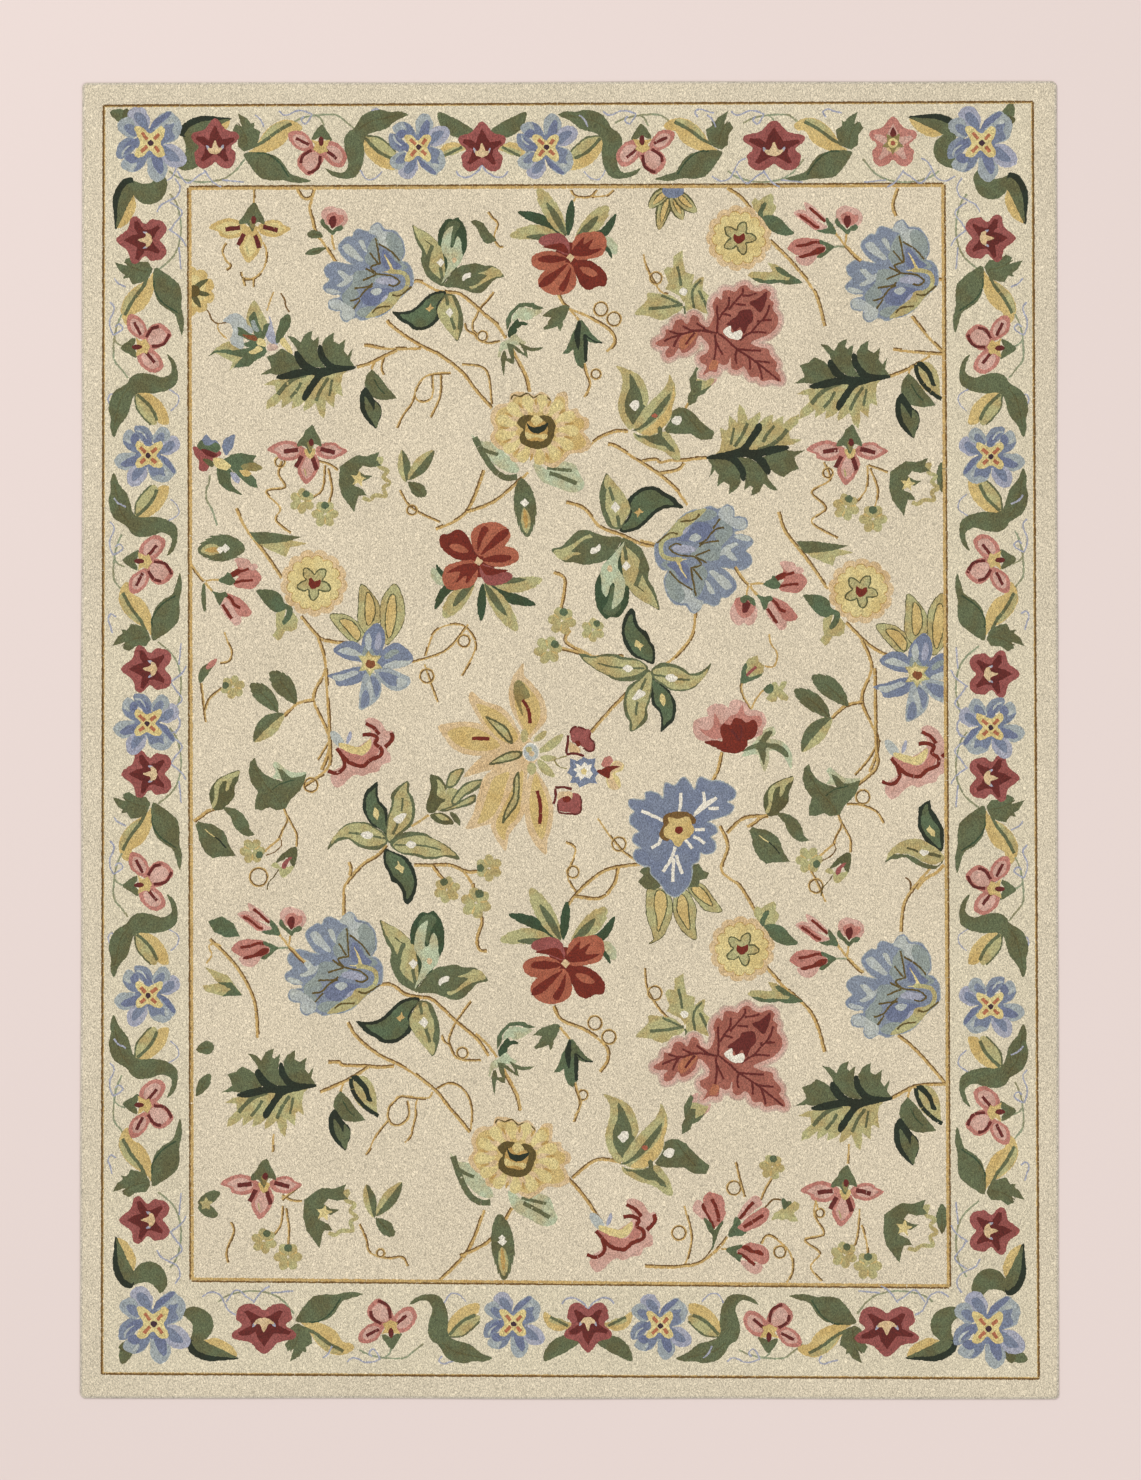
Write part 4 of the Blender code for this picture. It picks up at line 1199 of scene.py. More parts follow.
            ("blob", "light_pink", ((240, 340), (223, 390), (233, 440), (265, 480), (300, 492), (330, 470),
                                    (360, 492), (400, 475), (427, 430), (430, 380), (410, 340), (380, 310), (290, 300))),
            ("blob", "pink", ((283, 280), (255, 320), (268, 360), (285, 402), (330, 437), (380, 412), (410, 370),
                              (415, 330), (380, 298))),
            ("blob", "maroon", ((320, 320), (345, 303), (372, 320), (376, 342), (352, 392), (323, 395), (315, 370))),
            ("blob", "pine", ((298, 287), (340, 263), (382, 273), (412, 300), (414, 342), (385, 332), (360, 302),
                              (330, 322), (308, 312))),
        )),
    ),
    "half_bud": (
        ((320, 920, 7.5), (
            (2.0, "gold", ((320, 915), (308, 960), (335, 1040), (385, 1120))),
            (1.1, "brown", ((312, 915), (300, 960), (327, 1040), (378, 1122))),
            (2.0, "gold", ((385, 1120), (410, 1060), (460, 990), (490, 970))),
            (1.8, "gold", ((485, 795), (550, 800), (575, 750), (575, 690), (540, 640), (525, 600), (518, 555))),
            ("sharp", "light_green", ((340, 780), (360, 740), (400, 725), (432, 713), (440, 760), (482, 790),
                                      (477, 840), (440, 865), (380, 880), (340, 855))),
            ("blob", "pine", ((345, 772), (357, 800), (346, 840), (370, 877), (420, 865), (472, 850), (440, 882),
                              (380, 907), (340, 922), (303, 922), (310, 850), (320, 800))),
            (3.0, "rose", ((350, 868), (380, 835), (422, 798))),
            ("sharp", "light_green", ((540, 918), (570, 913), (590, 950), (610, 913), (652, 908), (642, 950),
                                      (622, 980), (667, 1030), (652, 1057), (610, 1050), (580, 1022), (570, 1062),
                                      (530, 1067), (493, 1040), (520, 1005), (548, 985))),
            ("blob", "pine", ((478, 965), (520, 928), (545, 938), (550, 980), (520, 1002), (484, 987))),
        )),
    ),
    "last_buds": (
        ((270, 630, 10.71), (
            (3.0, "gold", ((400, 500), (350, 570), (300, 630), (180, 730), (80, 790), (-20, 815))),
            (1.3, "brown", ((240, 620), (190, 690), (130, 750), (60, 780), (-20, 800))),
            (1.4, "brown", ((390, 495), (340, 560), (285, 625))),
            (2.0, "pine", ((265, 520), (258, 570), (230, 640))),
            (2.2, "gold", ((330, 632), (410, 630))),
            ("blob", "light_pink", ((35, 160), (75, 105), (125, 120), (150, 180), (180, 250), (200, 300),
                                    (140, 315), (80, 270), (30, 220))),
            ("blob", "pink", ((190, 300), (160, 200), (138, 110), (170, 45), (215, 20), (262, 35), (340, 65),
                              (372, 130), (372, 200), (383, 250), (350, 330), (300, 380), (260, 400), (215, 350))),
            ("blob", "dark_red", ((125, 150), (150, 140), (180, 220), (222, 300), (270, 395), (252, 422),
                                  (215, 350), (160, 250), (128, 205))),
            (3.8, "dark_red", ((232, 98), (265, 150), (285, 220), (308, 290), (300, 340))),
            ("blob", "pine", ((150, 295), (220, 345), (262, 425), (300, 380), (345, 330), (357, 360), (320, 420),
                              (295, 490), (275, 560), (240, 590), (240, 500), (195, 430), (160, 350))),
            ("blob", "light_pink", ((510, 280), (545, 210), (600, 130), (660, 78), (720, 62), (762, 110),
                                    (770, 160), (700, 210), (620, 280), (550, 320))),
            ("blob", "pink", ((505, 400), (560, 350), (620, 290), (700, 235), (780, 190), (832, 198), (852, 250),
                              (820, 330), (740, 390), (640, 432), (600, 450), (560, 450))),
            (3.6, "dark_red", ((535, 310), (580, 250), (620, 195), (685, 130))),
            (3.8, "dark_red", ((570, 398), (650, 355), (720, 310), (785, 268))),
            ("blob", "pine", ((490, 290), (540, 320), (545, 360), (510, 400), (560, 440), (610, 455), (545, 495),
                              (480, 492), (430, 508), (408, 490), (420, 430), (455, 380), (468, 320))),
            ("blob", "light_pink", ((535, 760), (600, 760), (690, 800), (740, 780), (778, 810), (770, 860),
                                    (710, 905), (640, 880), (580, 830))),
            ("blob", "pink", ((505, 660), (560, 600), (640, 565), (720, 575), (790, 600), (830, 640), (852, 700),
                              (835, 770), (780, 800), (700, 770), (600, 740), (540, 700))),
            ("blob", "dark_red", ((550, 615), (600, 590), (645, 610), (680, 645), (740, 645), (787, 680),
                                  (775, 705), (700, 685), (620, 660))),
            (3.4, "dark_red", ((510, 675), (580, 710), (640, 760), (695, 805))),
            ("blob", "pine", ((395, 625), (470, 600), (560, 585), (550, 620), (500, 650), (505, 680), (560, 700),
                              (545, 740), (530, 775), (480, 730), (395, 665))),
            (1.9, "gold", ((1380, 215), (1340, 110))),
            (1.8, "brown", ((800, 190), (860, 130), (900, 100), (980, 105))),
            ("sharp", "light_green", ((990, 200), (1080, 150), (1120, 120), (1175, 150), (1165, 200), (1110, 250),
                                      (1165, 335), (1080, 340), (1040, 310), (985, 330), (950, 310), (870, 325),
                                      (900, 250), (960, 220))),
            ("blob", "pine", ((980, 100), (1005, 85), (1040, 120), (1085, 120), (1080, 155), (1010, 205), (985, 170))),
        )),
    ),
    "daisy_petals": (
        ((240, 430, 3.46), (
            ("blob", "blue", ((205, 400), (210, 365), (218, 330), (240, 303), (264, 288), (286, 308), (292, 350),
                              (278, 390), (255, 420), (215, 420))),
            ("blob", "blue", ((113, 382), (150, 352), (195, 356), (222, 384), (235, 420), (200, 422), (150, 410))),
            ("blob", "blue", ((92, 470), (140, 455), (190, 440), (230, 440), (225, 475), (190, 500), (130, 506),
                              (118, 486))),
            ("blob", "pale_blue", ((205, 588), (202, 545), (210, 500), (222, 462), (258, 465), (280, 500), (272, 545),
                               (240, 575))),
            ("blob", "pale_blue", ((255, 450), (300, 445), (350, 462), (378, 478), (372, 508), (330, 524),
                                   (285, 500))),
            ("blob", "blue", ((255, 410), (295, 372), (330, 356), (372, 380), (390, 412), (372, 434), (320, 446),
                              (270, 440))),
            ("blob", "sea", ((212, 400), (224, 365), (240, 370), (262, 400), (275, 390), (262, 425), (225, 425))),
            ("blob", "mist", ((222, 345), (236, 322), (246, 350), (240, 382), (228, 376))),
            ("blob", "lavender", ((262, 330), (274, 320), (280, 350), (270, 380), (256, 372))),
            ("blob", "mist", ((128, 386), (160, 372), (200, 388), (215, 404), (170, 400))),
            ("blob", "mist", ((108, 472), (150, 464), (185, 452), (200, 462), (160, 480), (130, 490))),
            ("blob", "blue", ((208, 580), (210, 545), (224, 520), (238, 540), (234, 572))),
            ("blob", "blue", ((240, 470), (262, 480), (276, 510), (262, 545), (250, 510))),
            ("blob", "mist", ((226, 500), (240, 486), (250, 520), (244, 556), (234, 520))),
            ("blob", "blue", ((270, 460), (310, 462), (340, 480), (330, 506), (295, 496))),
            ("blob", "mist", ((335, 478), (368, 488), (362, 502), (335, 510))),
            ("blob", "mist", ((285, 440), (320, 420), (372, 418), (386, 414), (370, 434), (320, 446))),
            ("blob", "sea", ((290, 400), (320, 380), (340, 388), (320, 402), (296, 414))),
            ("sharp", "light_green", ((198, 400), (222, 402), (234, 384), (248, 400), (280, 402), (264, 424),
                                      (284, 444), (256, 450), (240, 474), (226, 452), (200, 456), (214, 430))),
            ("sharp", "butter", ((206, 405), (226, 408), (236, 394), (246, 406), (270, 408), (258, 426), (272, 442),
                                 (252, 446), (240, 462), (230, 446), (208, 450), (220, 430))),
            ("blob", "rust", ((224, 430), (232, 416), (244, 418), (256, 420), (258, 434), (246, 446), (232, 442))),
        )),
    ),
    "red_squares": (
        # box 540,600 at 3.46
        ((140, 490, 3.46), (
            ("blob", "rose", ((105, 462), (112, 445), (132, 440), (150, 446), (170, 448), (178, 462), (172, 476),
                              (186, 492), (186, 518), (170, 524), (158, 516), (135, 500), (112, 492))),
            ("blob", "peach", ((98, 490), (118, 498), (140, 516), (136, 530), (108, 530), (98, 515))),
            (2.6, "maroon", ((98, 468), (95, 500), (90, 532))),
            (2.6, "maroon", ((90, 534), (120, 532), (152, 540))),
            (2.0, "maroon", ((104, 462), (112, 442), (135, 440), (160, 450))),
            (1.8, "maroon", ((174, 462), (172, 476), (187, 494), (184, 520), (168, 524), (150, 512))),
            ("blob", "dark_red", ((120, 492), (132, 486), (142, 498), (132, 508))),
            ("blob", "rose", ((66, 690), (90, 680), (110, 690), (112, 668), (138, 676), (142, 700), (135, 738),
                              (100, 736), (68, 730), (60, 708))),
            ("blob", "peach", ((62, 668), (76, 664), (100, 662), (112, 668), (108, 690), (84, 680), (62, 692))),
            (2.6, "maroon", ((52, 650), (80, 648), (110, 655))),
            (2.6, "maroon", ((52, 650), (54, 680), (46, 706))),
            (1.8, "maroon", ((60, 706), (66, 734), (100, 740), (136, 738), (143, 700), (138, 678))),
            ("blob", "dark_red", ((80, 682), (100, 680), (108, 690), (98, 700), (80, 698))),
            ("sharp", "blue", ((104, 548), (128, 558), (150, 544), (166, 552), (192, 548), (188, 575), (202, 600),
                               (190, 615), (198, 636), (172, 634), (160, 640), (136, 650), (128, 634), (104, 632),
                               (112, 610), (92, 598), (104, 580))),
            ("sharp", "white", ((122, 566), (142, 574), (154, 560), (164, 572), (180, 568), (174, 590), (182, 602),
                                (172, 618), (154, 612), (140, 626), (136, 612), (120, 614), (128, 596), (114, 588),
                                (128, 580))),
            ("sharp", "butter", ((140, 590), (152, 580), (162, 592), (158, 606), (144, 604))),
            ("blob", "pink", ((212, 572), (222, 548), (242, 540), (252, 556), (236, 580))),
            ("blob", "butter", ((205, 598), (236, 580), (262, 556), (290, 568), (284, 590), (260, 600), (276, 620),
                                (278, 650), (255, 658), (234, 644), (226, 612))),
            ("blob", "peach", ((232, 600), (262, 560), (286, 568), (280, 582), (250, 604), (272, 650), (252, 656),
                               (238, 640))),
            ("blob", "dark_red", ((196, 592), (214, 586), (236, 576), (278, 576), (246, 592), (240, 616), (222, 612))),
            (1.3, "olive", ((92, 540), (60, 550), (50, 556), (66, 576), (92, 584))),
        )),
    ),
    "spiky_bloom": (
        ((800, 680, 12.5), (
            (1.6, "brown", ((130, 235), (180, 290), (210, 370), (290, 418), (430, 398))),
            (1.5, "gold", ((290, 420), (285, 480), (330, 550), (400, 610))),
            (1.7, "gold", ((985, 20), (940, 130), (900, 260))),
            (1.6, "brown", ((1070, 40), (1120, 120), (1130, 190), (1180, 280))),
            ("blob", "mist", ((350, 390), (400, 330), (480, 290), (560, 310), (640, 380), (710, 440), (720, 530),
                              (640, 560), (600, 620), (620, 700), (560, 740), (480, 720), (440, 620), (470, 520),
                              (440, 420))),
            ("blob", "light_green", ((640, 400), (660, 260), (700, 170), (745, 130), (790, 180), (830, 260),
                                     (880, 350), (900, 420), (860, 480), (790, 540), (720, 480))),
            ("blob", "lavender", ((880, 560), (900, 470), (930, 400), (920, 320), (945, 350), (980, 470), (1000, 560),
                                  (1040, 660), (1000, 690), (920, 640))),
            ("sharp", "light_green", ((165, 830), (250, 740), (340, 670), (420, 640), (480, 700), (560, 740),
                                      (600, 800), (560, 900), (430, 1010), (470, 900), (380, 850), (250, 790))),
            ("blob", "pine", ((700, 300), (735, 265), (765, 300), (790, 400), (830, 500), (870, 570), (830, 620),
                              (760, 600), (730, 520), (690, 420), (670, 350))),
            ("blob", "sea", ((700, 400), (740, 380), (780, 460), (800, 520), (760, 520), (720, 480))),
            ("blob", "pine", ((870, 430), (930, 420), (910, 490), (880, 560), (860, 620), (840, 540), (850, 470))),
            ("blob", "pine", ((1080, 350), (1170, 300), (1200, 380), (1180, 470), (1130, 550), (1080, 620),
                              (1020, 670), (1005, 590), (1020, 510), (1050, 430))),
            ("blob", "pine", ((530, 460), (600, 480), (680, 540), (780, 570), (800, 640), (750, 720), (640, 710),
                              (605, 670), (680, 640), (600, 590), (530, 560), (545, 510))),
            ("blob", "rust", ((590, 560), (660, 560), (740, 570), (790, 620), (760, 640), (680, 620))),
            ("sharp", "pine", ((170, 825), (240, 760), (380, 740), (480, 755), (600, 735), (760, 700), (880, 690),
                               (900, 770), (860, 830), (760, 880), (670, 955), (560, 965), (470, 980), (540, 900),
                               (590, 840), (480, 820), (380, 790), (260, 780))),
            ("blob", "butter", ((765, 660), (800, 600), (860, 620), (890, 680), (870, 710), (800, 690))),
            ("blob", "butter", ((670, 775), (740, 730), (790, 700), (850, 740), (800, 780), (720, 802))),
            ("blob", "mauve", ((900, 700), (960, 670), (1040, 700), (1010, 750), (920, 760))),
            ("blob", "butter", ((1060, 650), (1110, 590), (1150, 640), (1200, 720), (1220, 800), (1150, 760))),
        )),
    ),
    "two_tone": (
        # the box starts at 190, 320
        ((160, 930, 6.667), (
            (2.0, "tendril_green", ((132, 1035), (125, 1090), (108, 1130), (112, 1200), (150, 1270), (180, 1370))),
            ("blob", "blue", ((50, 840), (85, 790), (112, 762), (140, 800), (170, 800), (200, 840), (160, 870),
                              (100, 860))),
            ("blob", "blue", ((225, 800), (262, 775), (300, 765), (288, 840), (262, 880), (240, 905), (215, 850))),
            ("blob", "rose", ((20, 845), (60, 850), (110, 860), (160, 850), (210, 890), (160, 930), (140, 960),
                              (110, 1005), (60, 1000), (60, 940), (35, 910))),
            ("blob", "pine", ((45, 840), (75, 800), (95, 830), (130, 835), (170, 815), (205, 850), (180, 885),
                              (130, 870), (80, 870))),
            ("blob", "maroon", ((75, 860), (130, 870), (180, 900), (150, 915), (100, 895))),
            ("blob", "moss", ((85, 925), (130, 930), (160, 955), (150, 980), (110, 960))),
            ("sharp", "pine", ((220, 930), (280, 895), (340, 885), (405, 900), (445, 905), (420, 940), (485, 985),
                               (440, 1010), (380, 1005), (440, 1060), (452, 1120), (400, 1110), (340, 1060),
                               (290, 1010), (240, 970))),
            ("blob", "olive", ((340, 970), (420, 950), (485, 985), (440, 1008), (370, 1000))),
            ("blob", "pine", ((180, 980), (230, 970), (280, 1010), (270, 1060), (290, 1110), (350, 1165),
                              (290, 1150), (240, 1130), (190, 1080))),
            ("blob", "lavender", ((268, 1020), (300, 1020), (335, 1060), (320, 1090), (290, 1070))),
            ("blob", "butter", ((150, 930), (200, 920), (250, 950), (275, 975), (240, 1000), (180, 985))),
            ("blob", "yellow", ((330, 1005), (380, 1000), (410, 1025), (370, 1045))),
        )),
    ),
    "edge_leaves": (
        # the box starts at 870, 790
        ((890, 800, 12.0), (
            ("sharp", "black_green", ((722, 118), (735, 220), (800, 310), (850, 400), (890, 480), (890, 620), (880, 700),
                                      (850, 745), (760, 680), (680, 630), (640, 580), (600, 500), (575, 450),
                                      (578, 300), (582, 210), (650, 155))),
            ("blob", "pine", ((690, 170), (705, 260), (760, 370), (830, 460), (840, 600), (850, 700), (780, 650),
                              (700, 570), (640, 480), (610, 380), (630, 250), (660, 190))),
            ("sharp", "butter", ((680, 480), (712, 425), (780, 500), (775, 558), (735, 545))),
            ("blob", "green", ((180, 868), (240, 790), (290, 770), (420, 770), (520, 800), (640, 870), (750, 900),
                               (820, 900), (890, 820), (860, 880), (790, 945), (680, 945), (600, 915), (500, 860),
                               (430, 810), (330, 825), (250, 835))),
            ("blob", "light_green", ((200, 840), (230, 740), (300, 670), (400, 610), (500, 585), (600, 590),
                                     (700, 640), (800, 700), (870, 770), (890, 820), (820, 880), (740, 895),
                                     (640, 865), (520, 795), (420, 765), (290, 765))),
            (2.0, "moss", ((440, 695), (510, 710), (580, 745))),
            (3.6, "moss", ((700, 765), (780, 780), (850, 800))),
            ("sharp", "white", ((585, 740), (630, 712), (710, 735), (690, 775), (640, 792))),
            (3.4, "gold", ((890, 900), (800, 990), (720, 1030), (640, 1090), (560, 1190))),
            (1.8, "brown", ((420, 1050), (470, 1080), (490, 1130), (485, 1200))),
        )),
    ),
    "dart_leaf": (
        ((148, 170, 2.62), (
            ("sharp", "light_green", ((150, 175), (200, 168), (300, 190), (252, 200), (243, 225), (188, 202))),
            ("sharp", "green", ((146, 160), (190, 159), (284, 172), (240, 186), (170, 192))),
        )),
    ),
    "edge_pair": (
        ((75, 190, 2.37), (
            ("sharp", "pine", ((66, 145), (100, 133), (127, 150), (142, 181), (110, 184), (80, 171))),
            ("sharp", "light_green", ((53, 298), (90, 292), (58, 253), (112, 273), (147, 319), (100, 322), (60, 312))),
            ("sharp", "pine", ((88, 290), (122, 290), (148, 321), (100, 323), (120, 306))),
            (1.8, "gold", ((62, 245), (75, 225), (68, 205), (82, 198), (98, 204))),
        )),
    ),
}


def drawn(name):
    """The motif of that name in the table."""
    def motif(pen):
        for middle, strokes in DRAWN[name]:
            draft = pen.draft(*middle)
            for kind, yarn, points in strokes:
                if kind == "blob":
                    draft.blob(yarn, *points)
                elif kind == "sharp":
                    draft.sharp(yarn, *points)
                else:
                    draft.row(yarn, points, kind)
    return motif


# Border units, in along and out from the side's middle line --------------

BLUE_PETALS = (
    # yarn, outline: laid in this order
    ("pale_blue", ((440, 330), (440, 280), (480, 210), (540, 175), (600, 200), (642, 250), (662, 320), (640, 390),
                   (560, 480), (470, 490), (440, 400))),
    ("lavender", ((590, 450), (660, 360), (740, 333), (832, 353), (867, 410), (852, 480), (790, 550), (700, 592),
                  (600, 570))),
    ("pale_blue", ((590, 590), (700, 610), (772, 650), (802, 720), (817, 790), (790, 862), (730, 915), (690, 952),
                   (620, 932), (540, 872), (470, 760), (540, 660))),
    ("lavender", ((440, 740), (472, 860), (440, 922), (400, 982), (330, 1002), (258, 972), (223, 920), (238, 870),
                  (290, 820), (360, 740))),
    ("pale_blue", ((310, 660), (345, 740), (310, 802), (280, 862), (220, 882), (148, 852), (113, 800), (128, 740),
                   (190, 688), (250, 650))),
    ("fan_blue", ((310, 550), (330, 620), (250, 662), (190, 642), (128, 592), (103, 520), (108, 440), (160, 428),
                  (240, 465))),
    ("pale_blue", ((340, 480), (250, 475), (180, 422), (148, 360), (188, 310), (270, 283), (340, 298), (402, 350),
                   (445, 440), (420, 490))),
    ("blue", ((320, 600), (350, 500), (470, 440), (590, 500), (620, 600), (590, 700), (470, 760), (350, 700))),
    ("deep_blue", ((485, 470), (500, 370), (540, 300), (582, 258), (617, 300), (612, 380), (580, 470))),
    ("blue", ((600, 530), (650, 430), (720, 400), (792, 405), (772, 460), (700, 530), (630, 570))),
    ("blue", ((600, 600), (690, 620), (742, 660), (712, 740), (732, 812), (640, 800), (590, 700))),
    ("deep_blue", ((470, 740), (560, 790), (620, 840), (702, 922), (660, 942), (580, 892), (505, 840))),
    ("blue", ((320, 830), (400, 750), (455, 750), (425, 872), (360, 932), (298, 920), (298, 870))),
    ("blue", ((188, 762), (240, 700), (320, 670), (330, 750), (270, 803), (200, 802))),
    ("deep_blue", ((198, 478), (250, 520), (330, 560), (330, 650), (240, 622), (188, 562), (178, 500))),
    ("blue", ((288, 288), (340, 308), (402, 360), (435, 450), (360, 480), (300, 420), (330, 370))),
    ("deep_blue", ((198, 432), (260, 380), (322, 400), (310, 475), (240, 482))),
    ("mist", ((250, 310), (285, 320), (320, 380), (290, 372))),
    ("mist", ((640, 815), (690, 805), (730, 830), (700, 860))),
    ("mist", ((170, 450), (200, 520), (270, 580), (210, 560), (160, 500))),
    ("butter", ((298, 468), (340, 443), (400, 460), (465, 520), (530, 460), (590, 443), (632, 470), (622, 530),
                (585, 600), (622, 680), (632, 750), (590, 787), (530, 745), (468, 705), (400, 762), (340, 787),
                (298, 770), (318, 700), (365, 600), (318, 530))),
)
BLUE_CROSS = (((372, 502), (440, 570)), ((568, 502), (520, 565)), ((382, 712), (440, 640)), ((570, 700), (515, 640)))


def blue_rosette(pen, reach=34):
    """Seven blue petals round a cross of rust in butter yellow."""
    pen = pen.draft(470, 600, 12.5 * 34 / reach, -1)
    for yarn, outline in BLUE_PETALS:
        pen.blob(yarn, *outline)
    for line in BLUE_CROSS:
        pen.row("rust_orange", line, 3.6)
    pen.blob("plum", (440, 600), (478, 566), (516, 600), (478, 636))


def red_flower(pen, outer="rose", inner="maroon"):
    pen = pen.draft(1268, 620, 12.5, -1)
    left = ((1268, 285), (1220, 315), (1150, 410), (1100, 440), (1000, 465), (968, 520), (1000, 575), (1055, 620),
            (1060, 660), (1008, 720), (1015, 780), (1030, 852), (1090, 908), (1160, 908), (1220, 872))
    right = [(2536 - x, y) for x, y in reversed(left[1:])]
    pen.blob(outer, *left, (1268, 830), *right)
    pen.sharp(inner, (1270, 375), (1335, 500), (1362, 545), (1500, 525), (1520, 560), (1405, 640), (1400, 700),
              (1442, 818), (1400, 828), (1330, 765), (1268, 732), (1200, 772), (1120, 828), (1085, 812), (1130, 720),
              (1150, 640), (1028, 552), (1040, 508), (1130, 515), (1190, 560), (1210, 480))
    pen.blob("maroon", (1270, 420), (1310, 500), (1290, 570), (1250, 570), (1230, 500))
    pen.blob("lavender", (1160, 618), (1190, 640), (1200, 680), (1170, 670))
    pen.blob("lavender", (1376, 618), (1346, 640), (1336, 680), (1366, 670))
    pen.blob("peach", (1175, 650), (1225, 655), (1268, 555), (1311, 655), (1360, 650), (1340, 700), (1300, 728),
             (1265, 734), (1200, 712))


def pink_flower(pen):
    pen = pen.draft(784, 402, 6, -1)
    petals = (
        ((745, 385), (702, 318), (650, 298), (598, 310), (598, 352), (640, 402), (702, 424), (740, 410)),
        ((770, 395), (692, 420), (652, 462), (652, 512), (702, 564), (742, 556), (792, 500), (806, 440)),
        ((810, 365), (880, 368), (932, 420), (944, 472), (912, 518), (850, 502), (800, 442)),
    )
    for petal in petals:
        pen.blob("pink", *petal)
        middle = np.mean(petal, axis=0)
        pen.blob("light_pink", *[middle + (np.array(point) - middle) * 0.66 for point in petal])
    for stripe in (((640, 343), (718, 382)), ((732, 414), (680, 450), (668, 492)),
                   ((786, 448), (772, 520), (710, 555)), ((820, 414), (884, 466))):
        pen.row("maroon", stripe, 3.2)
    pen.blob("green", (796, 262), (832, 310), (856, 356), (815, 352), (788, 334), (760, 350), (735, 348), (750, 310))
    pen.sharp("yellow", (730, 352), (780, 362), (846, 352), (822, 398), (830, 420), (785, 438), (740, 412), (755, 385))
    pen.dot("maroon", 790, 360, 16, 31)


def swash(pen):
    """The curling leaf beside a blue flower, with the two-tone leaf under it."""
    pen = pen.draft(996, 402, 6, -1)
    pen.blob("yellow", (1033, 345), (1045, 420), (1090, 484), (1150, 524), (1228, 538), (1225, 480), (1170, 460), (1090, 400))
    pen.blob("light_green", (1045, 340), (1120, 342), (1184, 380), (1238, 446), (1200, 474), (1130, 444), (1078, 392))
    pen.row("green", ((1050, 335), (1130, 343), (1195, 390), (1235, 432)), 1.8)
    pen.row("green", ((1052, 348), (1100, 402), (1150, 442), (1208, 468)), 3.4)
    pen.blob("green", (985, 288), (1040, 208), (1130, 178), (1200, 190), (1260, 188), (1308, 210), (1240, 242),
             (1180, 290), (1110, 312), (1062, 330), (1042, 372), (1046, 442), (1030, 522), (990, 582), (920, 592),
             (850, 572), (812, 528), (870, 550), (922, 552), (950, 500), (930, 432), (924, 360), (950, 310))
    pen.row("moss", ((1010, 300), (1080, 250), (1160, 230), (1240, 212)), 1.4)
    pen.row("lavender", ((1022, 540), (1060, 595), (1110, 590), (1152, 548)), 1.4)


def spray(pen):
    """Lobed leaf, yellow leaf and big leaf from one joint."""
    pen = pen.draft(324, 426, 6, -1)
    pen.blob("yellow", (352, 432), (390, 402), (440, 322), (500, 265), (572, 238), (642, 254), (674, 286),
             (650, 312), (602, 322), (572, 372), (520, 412), (450, 438), (400, 438))
    pen.blob("light_green", (430, 345), (500, 270), (580, 243), (600, 262), (520, 310), (440, 362))
    pen.row("green", ((370, 402), (440, 370), (520, 310), (608, 262)), 3.4)
    pen.sharp("green", (328, 430), (288, 402), (285, 342), (255, 300), (275, 262), (310, 276), (288, 200),
              (345, 232), (365, 262), (388, 252), (382, 286), (422, 310), (415, 352), (402, 384), (372, 414))
    pen.blob("green", (322, 445), (370, 432), (440, 438), (512, 455), (562, 500), (602, 560), (662, 582), (726, 606),
             (640, 618), (560, 602), (500, 604), (430, 592), (388, 552), (350, 500))
    pen.row("dark_green", ((400, 438), (460, 442), (532, 492), (592, 580)), 1.6)
    pen.row("moss", ((290, 260), (330, 330), (345, 400)), 1.3)


def leaf_pair(pen):
    """The leaves between a red flower and the next blue one."""
    pen.leaf("green", bent((8, 14), (44, 35), -0.12), 17, 0.75, 0.9)
    pen.leaf("yellow", bent((16, -2), (44, -14), 0.22), 12, 0.8)
    pen.leaf("light_green", bent((18, 0), (40, -6), -0.05), 7, 0.8)
    pen.row("green", ((20, 0), (30, -5), (38, -9)), 2.8)


def corner_swash(pen):
    """The dark-edged leaf and its curling stem beside a corner flower."""
    pen = pen.draft(858, 516, 6, -1)
    pen.blob("green", (718, 420), (738, 480), (738, 540), (700, 580), (676, 602), (720, 642), (782, 638), (842, 602),
             (867, 540), (852, 480), (802, 436), (770, 420))
    pen.blob("yellow", (795, 430), (860, 456), (912, 446), (980, 404), (1008, 344), (930, 372), (860, 404))
    pen.blob("black_green", (710, 436), (716, 380), (768, 338), (840, 316), (932, 322), (1018, 334), (935, 372),
             (860, 400), (790, 440))
    pen.blob("green", (735, 436), (760, 390), (800, 366), (860, 348), (940, 342), (1005, 338), (935, 378), (862, 412),
             (795, 445))


def tendrils(pen):
    """Thin curling lines, green and blue, on the inner side of a red flower."""
    pen.row("tendril_green", ((-46, -24), (-35, -31), (-15, -35), (4, -33), (18, -26), (30, -12)), 1.9)
    for line in (
        ((-62, -29), (-53, -34), (-44, -31), (-40, -24), (-35, -15), (-28, -11)),
        ((-38, -24), (-28, -36), (-17, -29), (-9, -24)), ((-11, -23), (-2, -35), (6, -40)), ((7, -33), (18, -34), (29, -35)),
    ):
        pen.row("lavender", line, 1.7)


def cups(pen):
    """Two shallow curls under the middle flower."""
    for hand in (-1, 1):
        pen.row("lavender", ((26 * hand, -22), (22 * hand, -27), (14 * hand, -28), (4 * hand, -22), (0, -15)), 1.8)


